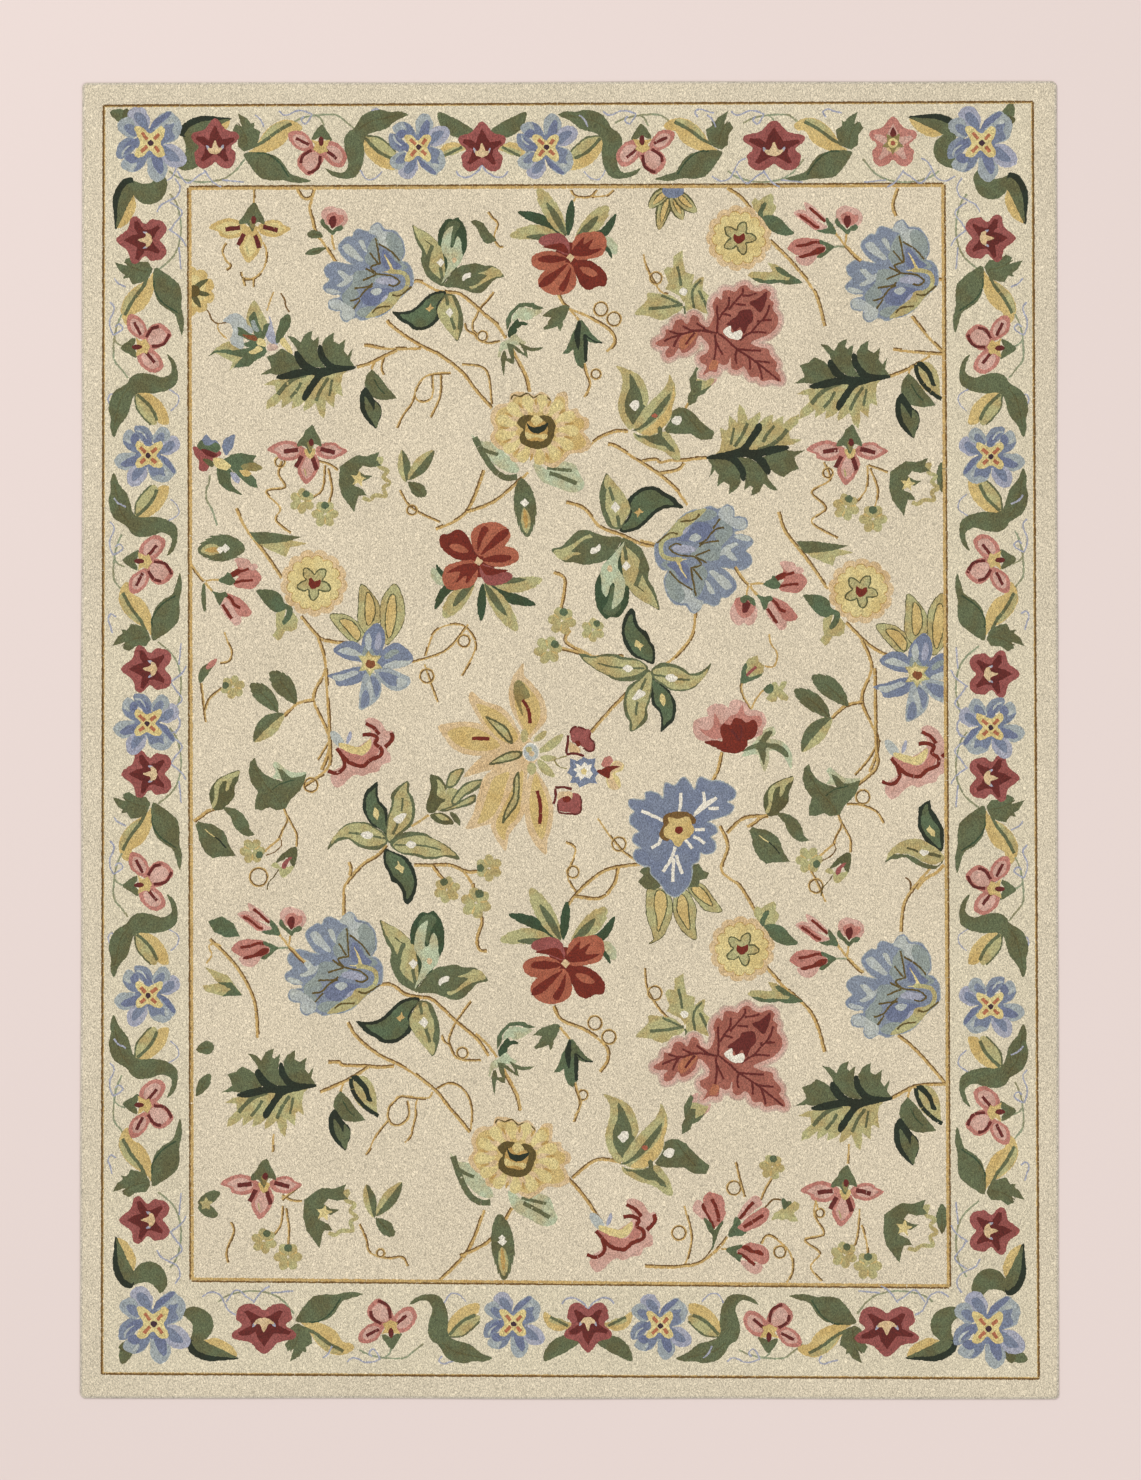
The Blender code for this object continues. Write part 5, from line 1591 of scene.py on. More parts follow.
def outer_tendril(pen):
    """Thin curling lines on the outer side of a pink flower."""
    pen.row("tendril_green", ((-31, 24), (-20, 29), (-4, 32), (14, 32), (24, 25), (33, 18)), 1.9)
    pen.row("tendril_green", ((-6, 32), (-1, 28), (2, 21)), 1.7)
    for line in (((-43, 36), (-38, 32), (-32, 33), (-26, 36), (-18, 36), (-10, 33)),
                 ((-10, 33), (-13, 27), (-17, 23), (-21, 27), (-18, 31)),
                 ((-67, 32), (-62, 28), (-58, 20)), ((52, 30), (49, 35), (54, 38), (60, 36), (68, 34))):
        pen.row("lavender", line, 1.7)


UNITS = {
    "blue": blue_rosette, "red": red_flower, "pink": pink_flower, "swash": swash, "spray": spray,
    "pair": leaf_pair, "corner": corner_swash, "curls": tendrils, "outer": outer_tendril, "cups": cups,
}
BORDER = {
    # side: its middle line, then units in order: kind, place along the side, direction, lift
    "head": (147, (
        ("outer", 322, 1, 0), ("curls", 215, 1, 0), ("corner", 205, 1, -2), ("spray", 244, 1, -4), ("swash", 356, 1, 0),
        ("cups", 482, 1, -2), ("pair", 482, 1, 0), ("pair", 482, -1, 0), ("swash", 610, -1, 0),
        ("outer", 646, 1, 0), ("spray", 722, -1, -2), ("curls", 774, 1, 0), ("outer", 774, 1, 0),
        ("spray", 852, -1, -2), ("curls", 893, -1, 0), ("corner", 935, -1, 0), ("red", 215, 1, 2),
        ("pink", 320, 1, -1), ("blue", 418, 1, 0), ("red", 482, 1, -1), ("blue", 546, 1, 0), ("pink", 643, -1, 0),
        ("red", 774, 1.3, 0), ("odd", 893, 1, 4),
    )),
    "left": (146, (
        ("curls", 240, 1, 0), ("corner", 203, 1, 0), ("spray", 268, 1, -6), ("outer", 345, 1, 0), ("swash", 385, 1, 0),
        ("swash", 525, -1, 0), ("outer", 565, 1, 0), ("spray", 640, -1, -4),
        ("curls", 672, -1, 0), ("curls", 774, 1, 0), ("spray", 803, 1, -4), ("outer", 884, 1, 0), ("swash", 925, 1, 0),
        ("swash", 1067, -1, 0), ("outer", 1106, 1, 0), ("spray", 1186, -1, -4),
        ("curls", 1222, -1, 0), ("corner", 1263, -1, 0), ("red", 240, 1, 3), ("pink", 346, 1, 2), ("blue", 455, 1, -2),
        ("pink", 562, -1, 0), ("red", 669, 1, -2), ("red", 774, 1, -2), ("blue", 723, 1, -1), ("pink", 884, 1, 0),
        ("blue", 995, 1, -2), ("pink", 1106, -1, 0), ("red", 1220, 1, 0),
    )),
    "right": (991, (
        ("curls", 240, 1, 0), ("corner", 198, 1, 4), ("spray", 266, 1, -6), ("outer", 345, 1, 0), ("swash", 385, 1, 0),
        ("swash", 520, -1, 0), ("outer", 562, 1, 0), ("spray", 640, -1, -4),
        ("curls", 676, -1, 0), ("curls", 778, 1, 0), ("spray", 806, 1, -4), ("outer", 888, 1, 0), ("swash", 925, 1, 0),
        ("swash", 1076, -1, 0), ("outer", 1113, 1, 0), ("spray", 1194, -1, -4),
        ("curls", 1231, -1, 0), ("corner", 1270, -1, 2), ("red", 238, 1, -2), ("pink", 347, 1, 2), ("blue", 456, 1, 0),
        ("pink", 561, -1, 2), ("red", 674, 1, 2), ("red", 778, 1, 2), ("blue", 727, 1, 0), ("pink", 888, 1, 2),
        ("blue", 1006, 1, 0), ("pink", 1113, -1, 2), ("red", 1231, 1, 2),
    )),
    "foot": (1326, (
        ("curls", 264, 1, 0), ("corner", 212, 1, 2), ("spray", 296, 1, -2), ("outer", 390, 1, 0), ("swash", 440, 1, 0),
        ("cups", 588, 1, 0), ("pair", 588, 1, 0), ("pair", 588, -1, 0), ("swash", 728, -1, 0),
        ("outer", 770, 1, 0), ("spray", 856, -1, 0), ("curls", 887, -1, 0), ("corner", 932, -1, 2),
        ("red", 264, 1.35, 1), ("pink", 390, 1, 0), ("blue", 513, 1, -2), ("red", 588, 1, 0), ("blue", 660, 1, 0),
        ("pink", 770, -1, 4), ("red", 887, 1.35, 4),
    )),
}
CORNER_FLOWERS = (
    # across, down, reach
    (150, 143, 39), (981, 143, 39), (153, 1324, 40), (988, 1329, 40),
)
# Inner frame and outer guard line: corners in order head left, head right, foot right, foot left
FRAME = ((189.0, 187.6), (943.6, 184.5), (949.2, 1286.7), (191.4, 1280.0))
GUARD = ((103.4, 105.4), (1033.0, 101.6), (1039.0, 1379.0), (101.6, 1374.0))


def side_pen(side, middle, along, direction, lift):
    if side == "head":
        return Pen(along, middle - lift, matrix=((direction, 0), (0, -1)))
    if side == "foot":
        return Pen(along, middle + lift, matrix=((direction, 0), (0, 1)))
    out = -1 if side == "left" else 1
    return Pen(middle + out * lift, along, matrix=((0, out), (direction, 0)))


def draw_border():
    for side, (middle, units) in BORDER.items():
        for kind, along, direction, lift in units:
            pen = side_pen(side, middle, along, direction, lift)
            if kind == "odd":
                red_flower(pen, "pink", "light_pink")
                pen.star("olive", 5, 12, 6)
                pen.dot("butter", 0, 0, 5)
                pen.dot("orange", 0, 0, 2.6)
            else:
                UNITS[kind](pen)
    for across, down, reach in CORNER_FLOWERS:
        for angle in (-45, 45, 135, 225):
            outwards = (across - CENTRE_ACROSS) * math.sin(math.radians(angle)) \
                - (down - CENTRE_DOWN) * math.cos(math.radians(angle))
            if outwards > 600:
                twig = Pen(across, down, angle)
                twig.leaf("green", bent((0, -26), (-7, -50), 0.1), 13, 0.7)
                twig.leaf("moss", bent((0, -24), (8, -41), -0.1), 12, 0.7)
        blue_rosette(Pen(across, down), reach)


# The field, from the head down -------------------------------------------
VINES = (
    # points across and down, in pixels of the photograph
    ((297.5, 189), (303.6, 198), (311, 197), (314.5, 189)), ((313, 198), (310, 209), (313, 220), (316, 232), (324, 243), (336, 262)),
    ((412, 282), (420, 281), (435, 289), (449, 292), (458, 293), (465, 297), (479, 309), (488, 317), (498, 325), (506, 338)),
    ((387, 320), (392, 326), (410, 339), (426, 348), (440, 355), (462, 372), (476, 390), (492, 408)),
    ((364, 345), (373, 346), (382, 348), (401, 348.5), (421, 348)), ((357, 367), (370, 363), (382, 357), (397, 350)),
    ((727, 188), (740, 196), (752, 210)), ((770, 240), (792, 262), (815, 292), (825, 326)),
    ((898, 188), (893, 204), (896, 216)), ((938, 279), (944, 280)), ((912, 316), (928, 336), (944, 353)),
    ((893, 349), (918, 352), (944, 354)), ((890, 376), (910, 368), (930, 355)),
    ((557, 290), (566, 306), (588, 316), (610, 330), (615, 342), (607, 352)),
    ((586, 450), (592, 443), (600, 437), (609, 433), (619, 430.5), (628, 431.5)),
    ((608, 444), (614, 445), (626, 452), (641, 462), (659, 474), (670, 483), (678, 491), (688, 505)),
    ((642, 461), (656, 459), (660, 462), (671, 460), (684, 460), (698, 458), (707, 458)), ((659, 473), (673, 471), (680, 468), (684, 463)), ((685, 408), (688, 403)), ((436, 529), (466, 512), (484, 470)),
    ((466, 512), (496, 500), (528, 472)), ((566, 502), (584, 508), (600, 526), (622, 535), (642, 544), (656, 546)),
    ((656, 545), (640, 541)), 
    ((696, 609), (692, 636), (672, 660), (651, 673)),
    ((591, 732), (612, 708), (640, 680)), ((591, 656), (566, 642), (570, 630)), ((591, 656), (624, 656)),
    ((591, 656), (560, 648)), ((554, 572), (565, 580), (561, 610)),
    ((779, 512), (786, 532), (808, 560), (828, 589)), ((846, 622), (868, 644), (888, 656)),
    ((862, 640), (872, 668), (862, 700), (878, 740), (870, 772)), ((875, 668), (876, 740), (876, 768), (850, 790)),
    ((862, 702), (846, 706), (832, 718)), ((236.5, 508), (246.7, 529), (265, 553), (282, 578)),
    ((301, 616), (319, 637), (330, 641), (346, 643)), ((318, 636), (326, 668), (314, 698), (330, 740), (322, 770)),
    ((326, 668), (330, 740), (328, 768), (304, 786)), ((314, 700), (298, 704), (284, 716)),
    ((722, 752), (718, 770), (712, 782)),
    ((727, 833), (744, 818), (768, 816)), ((720, 826), (728, 846), (722, 870), (740, 886), (756, 912)),
    ((566, 908), (580, 890), (606, 870), (640, 864)), ((574, 896), (600, 898), (614, 884), (618, 868)),
    ((387, 845), (378, 855), (365, 863), (353, 875), (345, 887), (344, 900), (344, 916)), ((349, 862), (351, 868), (350, 876)),
    ((414, 865), (432, 865), (449, 865), (462, 870), (469, 878), (473, 885), (474, 892)), ((432, 865), (438, 873), (445, 881)),
    ((462, 870), (470, 872), (478, 871)), ((481, 916), (482, 923), (479, 932), (477, 942), (480, 950), (487, 951)),
    ((380, 985), (388, 984), (396, 987), (405, 994), (420, 997), (429, 998), (438, 1004), (456, 1021), (469, 1032), (479, 1041), (489, 1056)),
    ((348, 1022), (353, 1032), (360, 1040), (368, 1047), (381, 1056), (396, 1063), (412, 1072), (423, 1080), (433, 1088), (440, 1095), (449, 1107), (460, 1120), (470, 1132)),
    ((328, 1062), (340, 1062), (343, 1065), (368, 1066), (379, 1067), (394, 1066)), ((320, 1092), (332, 1087), (347, 1080), (356, 1075), (368, 1067)), ((554, 1006), (562, 1020), (586, 1030), (606, 1046), (608, 1060), (600, 1072)),
    ((752, 950), (780, 982), (812, 1014), (825, 1052)), ((898, 1035), (918, 1052), (946, 1084)),
    ((892, 1098), (916, 1086), (946, 1084)), ((572, 1178), (596, 1160), (621, 1162)),
    ((568, 1178), (584, 1196), (600, 1220)), ((645, 1266), (672, 1267), (690, 1265)),
    ((440, 1280), (468, 1250), (484, 1210)), ((460, 1256), (490, 1240), (512, 1208)),
    ((210, 939), (236, 966), (254, 1000), (258, 1038)), 
    ((931, 868), (906, 900), (901, 932)), 
)
THREADS = (
    ((451, 373), (440, 373.5), (430, 375), (422, 380), (417, 388), (415, 395), (418, 400), (424, 401.5), (430, 399), (432.5, 392), (432.5, 375)),
    ((415, 395), (411, 405), (404, 414), (397, 428)), ((441, 375), (441, 388), (440, 397), (436, 407), (430.5, 417.5)),
    ((384, 357), (382, 364), (382, 370), (384, 375)), ((494, 292), (487, 301), (480, 308), (477, 315), (473, 323), (473, 330), (477, 334)),
    ((465, 323), (467, 330), (474, 334), (478, 339), (488, 343), (500, 341)), ((488, 212), (492, 217), (498, 224), (495, 233), (495, 241), (500, 247), (503, 246)), 
    ((462, 364), (486, 370), (492, 404)), ((644, 254), (648, 270), (660, 290), (668, 294)),
    ((585, 370), (590, 384), (586, 396)), ((282, 461), (278.5, 474), (285, 487), (266.5, 491.5), (280.5, 508), (276, 520), (291, 533)),
    ((824, 462), (830, 480), (812, 492), (826, 508), (812, 522), (838, 538)),
    ((868, 465), (866, 490), (852, 506)), ((870, 468), (878, 490), (874, 512)), ((868, 465), (888, 472)),
    ((325, 465), (322, 490), (306, 500)), ((328, 468), (332, 490), (326, 510)), ((400, 490), (412, 508), (440, 522)),
    ((425, 656), (436, 630), (462, 625), (476, 646), (462, 676)), ((412, 662), (446, 650), (468, 624)),
    ((425, 664), (432, 686), (438, 702)), ((225, 632), (228, 642), (232, 652), (229, 661), (220, 663)), ((205.5, 722), (203, 700), (201, 683)), ((204, 712), (210, 698), (222, 688)),
    ((598, 818), (612, 838), (624, 852), (636, 860)), ((566, 842), (576, 850), (568, 876), (578, 894)),
    ((645, 968), (648, 990), (662, 1012), (676, 1024)), ((576, 1088), (580, 1104), (574, 1122)),
    ((433, 1092), (429, 1098), (416, 1098), (401, 1096.5), (394, 1102), (389, 1108), (388, 1117), (392, 1124), (399, 1125), (405.6, 1121), (409, 1114), (408, 1104), (407, 1101)),
    ((388, 1121), (382, 1128), (375, 1138), (370, 1149), (366, 1155)), ((418, 1099), (416, 1106), (416, 1115), (413, 1128), (411, 1136), (405, 1143)),
    ((435, 1090), (450, 1083), (465, 1091), (472, 1109), (471, 1130)), ((471, 1001), (466, 1008), (460, 1016), (456, 1022), (452, 1030), (449, 1039), (450, 1045), (454, 1054)),
    ((442, 1035), (444, 1041), (450, 1046), (455, 1056), (464, 1060), (481, 1060)),
    ((231, 1222), (234, 1232), (227, 1250), (228, 1263)), ((283, 1206), (280, 1227), (267, 1240)),
    ((286, 1208), (289, 1228), (288, 1250)), ((282, 1195), (291, 1200), (302, 1201)),
    ((359.5, 1224), (366, 1238), (370, 1252), (387, 1258), (402, 1257), (408, 1266)), ((274, 1134), (273, 1152)),
    ((816, 1202), (815, 1216), (824, 1234), (805, 1240), (820, 1253), (811, 1267), (822, 1281)),
    ((860, 1209), (857, 1239), (849, 1253)), ((849.5, 1144), (848, 1164)),
    ((862, 1225), (867, 1243), (868, 1258)), ((736, 1162), (740, 1179), (745, 1197)), ((772, 1178), (765, 1190), (761, 1200)),
    ((684.7, 1206), (691.7, 1234), (689.3, 1253), (685, 1266)),
    ((761, 1244), (766, 1236), (774, 1237), (790, 1252), (793, 1270), (787, 1283)),
    
    ((806, 862), (816, 880), (826, 902)), ((300, 1186), (282, 1200)), 
    ((880, 740), (868, 760), (855, 775)), ((847, 804), (862, 805), (877, 812), (884, 823)), ((573, 201), (576, 196)),
    ((571, 190), (576, 196), (589, 197), (597, 190)), ((614, 190), (606, 196), (592, 197)), ((330, 740), (318, 760)), ((254.5, 187), (254, 205)), ((226.4, 243), (222.7, 251), (226.4, 260), (231, 266), (226.4, 270)),
    
    ((263.5, 242), (266.6, 250), (266, 263), (261, 273), (252.6, 279), (243.4, 278), (241, 272)),
    ((243.4, 278), (245, 286)), ((254, 279), (253.6, 287)), ((319, 461), (329, 464), (338, 470)),
)
LOOPS = (
    # across, down, radius
    (601, 309, 7), (614, 319, 7), (596, 374, 5), (656, 278, 6), (482.5, 336, 5), (828, 473, 5),
    (412, 510, 5), (464, 641, 6), (427, 676, 7), (573, 872, 6), (619, 844, 7), (655, 993, 7), (595, 1023, 7),
    (609, 1037, 7), (583, 1095, 5), (462.5, 1053, 5.5), (258.8, 877, 9), (816, 886, 7), (734, 1188, 7),
    (679, 1233, 7), (780, 1252, 6), (380.6, 1253, 4), (820, 1213, 4.5), (863, 797, 7), (311, 785, 7), (280, 462, 5),
)
LEAVES = (
    # kind, base across, base down, tip across, tip down, width, bend
    ("green", 323, 237, 307, 235, 9, 0.1), ("green", 326, 248, 305, 254, 7, 0), 
    
    
    
    ("two", 406, 482, 402, 450, 13, 0), ("two", 408, 480, 434, 450, 15, 0),
    ("green", 408, 482, 426, 496, 14, 0), 
    ("green", 296, 704, 270, 672, 20, 0.05),
    ("green", 278, 712, 250, 684, 18, 0.05), ("two", 284, 714, 254, 742, 20, 0.05), ("green", 848, 706, 812, 676, 20, 0.05),
    ("green", 830, 718, 794, 690, 18, 0.05), ("two", 832, 718, 802, 752, 20, 0.05), 
    
    
    
    ("two", 374, 1218, 366, 1184, 13, 0),
    ("two", 376, 1216, 402, 1182, 15, 0), ("green", 376, 1218, 394, 1236, 14, 0), 
    ("green", 196, 1050, 214, 1046, 14, 0), ("green", 196, 1096, 210, 1074, 12, 0),
    ("green", 942, 492, 942, 462, 12, 0), ("green", 942, 1234, 942, 1204, 12, 0),
)
JEWELS = (
    # single leaves with a diamond: kind, base across and down, tip across and down, width, bend
    ("green", 521, 478, 527, 537, 23, -0.02), ("green", 499, 1214, 504, 1280, 24, -0.02),
    ("green", 245.5, 549, 198, 551, 28, 0.04),
)
MOTIFS = (
    # motif, across, down, turn, size, flip
    (drawn("five_spray"), 445.2, 289, 0, 0.85, 1), (drawn("five_spray"), 418.7, 995, 0, 1.0, 1),
    (drawn("five_spray"), 620.7, 534.7, 180, 1.0, 1), (drawn("cross_spray"), 388.3, 842, 0, 1.0, 1),
    (drawn("cross_spray"), 650.4, 671, 180, 1.0, 1), (drawn("three_leaves"), 631.5, 430.5, 0, 1.0, 1),
    (drawn("three_leaves"), 620, 1164, 0, 1.08, 1), (drawn("cut_leaves"), 564.7, 305.6, 0, 1.0, 1),
    (drawn("cut_leaves"), 555.4, 1024.6, 0, 1.0, 1), (drawn("twin_leaves"), 371.5, 369, 0, 1.0, 1),
    (drawn("twin_leaves"), 340.5, 1091, 0, 1.0, 1), (drawn("split_leaf"), 352.3, 1076.3, 0, 1.0, 1),
    (drawn("twin_leaves"), 908.5, 373, 0, 1.1, 1), (drawn("split_leaf"), 917.5, 362.5, 0, 0.92, 1),
    (drawn("twin_leaves"), 907.5, 1097, 0, 1.15, 1), (drawn("split_leaf"), 917.5, 1086, 0, 0.95, 1),
    (drawn("left_trio"), 217, 809.3, 0, 1.0, 1), (drawn("left_trio"), 771, 815, 0, 1.0, 1),
    (drawn("right_trio"), 830, 793, 0, 1.0, 1), (drawn("right_trio"), 276, 787, 0, 1.0, 1),
    (drawn("cup_bud"), 688, 408, 0, 1.0, 1), (drawn("cup_bud"), 682, 1136, 0, 1.0, 1),
    (drawn("light_sprig"), 683.9, 304.4, 0, 1.0, 1), (drawn("light_sprig"), 685, 1027, 0, 1.0, 1),
    (drawn("hand_leaves"), 430.3, 814, 0, 1.0, 1),
    (acanthus, 355, 367, 0, 0.98, 1), (acanthus, 890, 376, 0, 1.0, 1), (acanthus, 707, 458, 180, 1.02, 1),
    (acanthus, 316, 1085, 0, 0.98, 1), (acanthus, 892, 1098, 0, 1.0, 1),
    (oak_leaf, 717, 333, 0, 1.0, 1), (oak_leaf, 718, 1056, 0, 1.05, 1),
    (fan_flower, 413, 282, 0, 0.97, 1), (fan_flower, 938, 281, 0, 1.0, 1), (fan_flower, 655, 548, 180, 1.06, 1),
    (fan_flower, 382, 980, 6, 1.05, 1), (fan_flower, 940, 997, 0, 1.02, 1),
    (orange_flower, 570, 258, 0, 1.0, 1), (orange_flower, 479, 561, 176, 1.03, 1), (orange_flower, 565, 964, 0, 1.08, 1),
    (rosette, 739, 238, 0, 1.0, 1), (rosette, 314, 583, 20, 1.02, 1), (rosette, 861, 591, 10, 1.0, 1),
    (rosette, 742, 949, 4, 1.0, 1),
    (ruffled_flower, 537, 429, 0, 1.0, 1), (ruffled_flower, 517, 1157, 8, 1.02, 1),
    (orchid, 310, 449, 0, 0.98, 1), (orchid, 850, 449, 0, 1.0, 1), (orchid, 264, 1183, 0, 1.0, 1), (orchid, 845, 1190, 0, 1.02, 1),
    (c_leaf, 358.5, 479, 0, 1.04, 1), (c_leaf, 908, 484, 0, 1.0, 1), (c_leaf, 324, 1213, 0, 1.1, 1), (c_leaf, 904, 1228, 0, 1.1, 1),
    (drawn("spiky_bloom"), 259, 344.4, 0, 1.0, 1), (drawn("two_tone"), 214, 459.5, 0, 1.0, 1),
    (drawn("edge_leaves"), 944.2, 856.7, 0, 1.0, 1),
    (drawn("dart_leaf"), 796.5, 545, 0, 1.0, 1), (drawn("dart_leaf"), 250, 536, 0, 1.0, 1),
    (drawn("edge_pair"), 211.7, 940.2, 0, 1.0, 1),
    (drawn("left_bud"), 332, 235, 0, 1.0, 1), (drawn("bud_spray"), 844.5, 245, 0, 1.0, 1),
    (drawn("bud_spray"), 846.5, 957, 0, 1.0, 1), (drawn("bud_spray"), 288.4, 946.3, 0, 1.0, 1),
    (drawn("low_buds"), 748.7, 584.7, 0, 1.0, 1), (drawn("low_round_bud"), 748.7, 584.7, 0, 1.0, 1),
    (drawn("low_buds"), 204, 581, 0, 0.98, 1),
    (drawn("half_bud"), 742.7, 682.7, 0, 1.0, 1), (drawn("last_buds"), 715.2, 1248.8, 0, 1.0, 1),
    (drawn("rosette_leaves"), 761.7, 217.4, 0, 1.0, 1), (drawn("rosette_leaves"), 763.8, 926.3, 0, 1.05, 1),
    (drawn("slim_leaf"), 802.8, 282.7, 0, 1.0, 1), (drawn("slim_leaf"), 802.8, 1001.6, 0, 1.0, 1),
    (drawn("lobed_leaf"), 831.3, 608, 0, 1.0, 1), (drawn("lobed_leaf"), 284, 603, 0, 1.0, 1),
    (star_flower, 562, 621, 10, 1.0, 1), (star_flower, 593, 630, 30, 0.85, 1), (star_flower, 548, 650, 50, 1.0, 1),
    (star_flower, 489, 868, 270, 0.95, 1), (star_flower, 447, 890, 340, 0.95, 1), (star_flower, 476, 903, 20, 1.1, 1),
    (star_flower, 846, 507, 20, 0.95, 1), (star_flower, 873, 519, 0, 1.0, 1),
    (star_flower, 302, 501, 30, 0.9, 1), (star_flower, 325, 514, 0, 0.95, 1), (star_flower, 233, 687, 282, 0.85, 1),
    (star_flower, 264, 1241, 20, 0.9, 1), (star_flower, 288, 1257, 0, 1.0, 1), (star_flower, 844, 1255, 20, 0.95, 1),
    (star_flower, 868, 1266, 0, 1.0, 1), 
    (star_flower, 809, 860, 118, 0.95, 1), (star_flower, 252.3, 851, 118, 0.9, 1),
    (blue_daisy, 370, 664, 0, 1.0, 1), (blue_daisy, 917, 675, 0, 1.02, 1), (notched_flower, 679, 830, 0, 1.0, 1),
    (lily, 531, 752, 0, 1.0, 1), (peony, 729, 729, 0, 1.02, 1), (curled_flower, 361, 755, 0, 0.95, 1),
    (curled_flower, 917, 765, 0, 1.0, 1), (curled_flower, 622, 1238, 0, 1.0, 1),
    (star_flower, 772, 1167, 10, 0.9, 1), (drawn("red_squares"), 580.5, 741.5, 0, 1.0, 1),
)


def little_blooms():
    """Single small things: the blue star, the half flowers at the frame, small leaves and two diamonds."""
    pen = Pen(673, 188)
    for tip in ((-14, 42), (10, 32), (24, 24), (-24, 20)):
        sepal(pen, (0, 0), tip, 15)
    pen.dot("blue", 0, 2, 11, 8)
    pen = Pen(190, 291)
    pen.scallops("yellow", 10, 25, 0.15)
    pen.scallops("butter", 8, 17, 0.2)
    for tip in ((18, -12), (20, 4), (11, 17)):
        pen.leaf("moss", bent((0, 0), tip, 0), 5.5, 0.7)
    pen.dot("umber", 4, 0, 6)
    Pen().blob("green", (470.8, 221.3), (476.7, 220.2), (483.7, 223.7), (488.3, 230.7), (494.2, 236.5), (496.5, 240),
               (493, 242.3), (486, 243.5), (481.3, 237.7), (476.7, 228.3))
    pen = Pen(206, 1204)
    pen.leaf("green", bent((-8, 0), (14, -12), 0), 12, 0.7)
    pen.leaf("green", bent((-8, 2), (12, 12), 0), 12, 0.7)
    pen.star("light_green", 5, 7, 4)
    pen = Pen(204, 672)
    pen.leaf("green", bent((-4, 11), (10, -9), -0.12), 9, 0.7)
    pen.leaf("pink", bent((2, -3), (13, -13), 0), 6, 0.6)
    pen = Pen(204, 583)
    pen.leaf("green", bent((0, 0), (1, 29), 0.03), 5, 0.6)
    for x, y in ((220, 550), (502, 1238)):
        Pen(x, y).diamond("white", 0, 0, 3.6)


def draw_field():
    pen = Pen()
    for points in THREADS:
        pen.thread(*points)
    for points in VINES:
        pen.vine(*points)
    for across, down, radius in LOOPS:
        pen.ring(across, down, radius)
    for kind, base_x, base_y, tip_x, tip_y, width, bend in LEAVES:
        plain_leaf(pen, kind, (base_x, base_y), (tip_x, tip_y), width, bend)
    for kind, base_x, base_y, tip_x, tip_y, width, bend in JEWELS:
        jewel_leaf(pen, kind, (base_x, base_y), (tip_x, tip_y), width, bend)
    for motif, across, down, turn, size, flip in MOTIFS:
        motif(Pen(across, down, turn, size, flip))
    orchid(Pen(252.5, 226.7), "butter", "yellow")
    little_blooms()


def draw_frames():
    """Covers what runs past the field, then lays the frame rows."""
    outer = 60
    (x0, y0), (x1, y1), (x2, y2), (x3, y3) = FRAME
    far = ((x0 - outer, y0 - outer), (x1 + outer, y1 - outer), (x2 + outer, y2 + outer), (x3 - outer, y3 + outer))
    for index in range(4):
        after = (index + 1) % 4
        Pen().sharp("border_cream", FRAME[index], FRAME[after], far[after], far[index])
    for index in range(4):
        start = np.array(FRAME[index])
        end = np.array(FRAME[(index + 1) % 4])
        middle = (start + end) / 2
        Pen().row("gold", (start, middle, end), 3.0, 0.9)
        Pen().row("brown", (start, middle, end), 1.7, -1.3)


def draw_guard():
    for index in range(4):
        start = np.array(GUARD[index])
        end = np.array(GUARD[(index + 1) % 4])
        Pen().row("gold", (start, (start + end) / 2, end), 1.2, 1.2)
        Pen().row("brown", (start, (start + end) / 2, end), 2.0, 0)


# The outline of the sheet, in metres ---------------------------------------

def corner_points():
    half_width = RUG_WIDTH / 2
    half_length = RUG_LENGTH / 2
    wide = FOOT_WIDER_BY / 4
    long = RIGHT_LONGER_BY / 4
    return (
        (-half_width - wide, -half_length + long - SKEW),
        (half_width + wide, -half_length - long),
        (half_width - wide, half_length + long),
        (-half_width + wide, half_length - long),
    )


def inset_point(corner, before, after, inset):
    x, y = corner
    for other in (before, after):
        length = math.hypot(other[0] - x, other[1] - y)
        corner = (corner[0] + inset * (other[0] - x) / length, corner[1] + inset * (other[1] - y) / length)
    return corner


def rug_outline(inset):
    """The rug's outline, counterclockwise seen from above, moved inwards by the inset."""
    corners = corner_points()
    radius = CORNER_RADIUS - inset
    points = []
    for index, (_, waves, start) in enumerate(SIDES):
        before = corners[index - 1]
        corner = corners[index]
        after = corners[(index + 1) % 4]
        beyond = corners[(index + 2) % 4]
        centre = inset_point(corner, before, after, CORNER_RADIUS)
        next_centre = inset_point(after, corner, beyond, CORNER_RADIUS)
        direction = math.atan2(after[1] - corner[1], after[0] - corner[0])
        arrival = math.atan2(corner[1] - before[1], corner[0] - before[0])
        turn = (direction - arrival) % (2 * math.pi)
        for step in range(STEPS_PER_CORNER):
            angle = arrival - math.pi / 2 + turn * step / STEPS_PER_CORNER
            points.append((centre[0] + radius * math.cos(angle), centre[1] + radius * math.sin(angle)))
        outwards = (math.sin(direction), -math.cos(direction))
        for step in range(STEPS_PER_SIDE):
            share = step / STEPS_PER_SIDE
            wave = WAVE_HEIGHT * math.sin(math.pi * share) * math.sin(start + 2 * math.pi * waves * share)
            reach = radius + wave
            x = centre[0] + (next_centre[0] - centre[0]) * share + outwards[0] * reach
            y = centre[1] + (next_centre[1] - centre[1]) * share + outwards[1] * reach
            points.append((x, y))
    return np.array(points)


def to_pixels(points):
    return np.column_stack((CENTRE_ACROSS + points[:, 0] / PIXEL, CENTRE_DOWN - points[:, 1] / PIXEL))


def to_metres(points):
    return np.column_stack(((points[:, 0] - CENTRE_ACROSS) * PIXEL, (CENTRE_DOWN - points[:, 1]) * PIXEL))


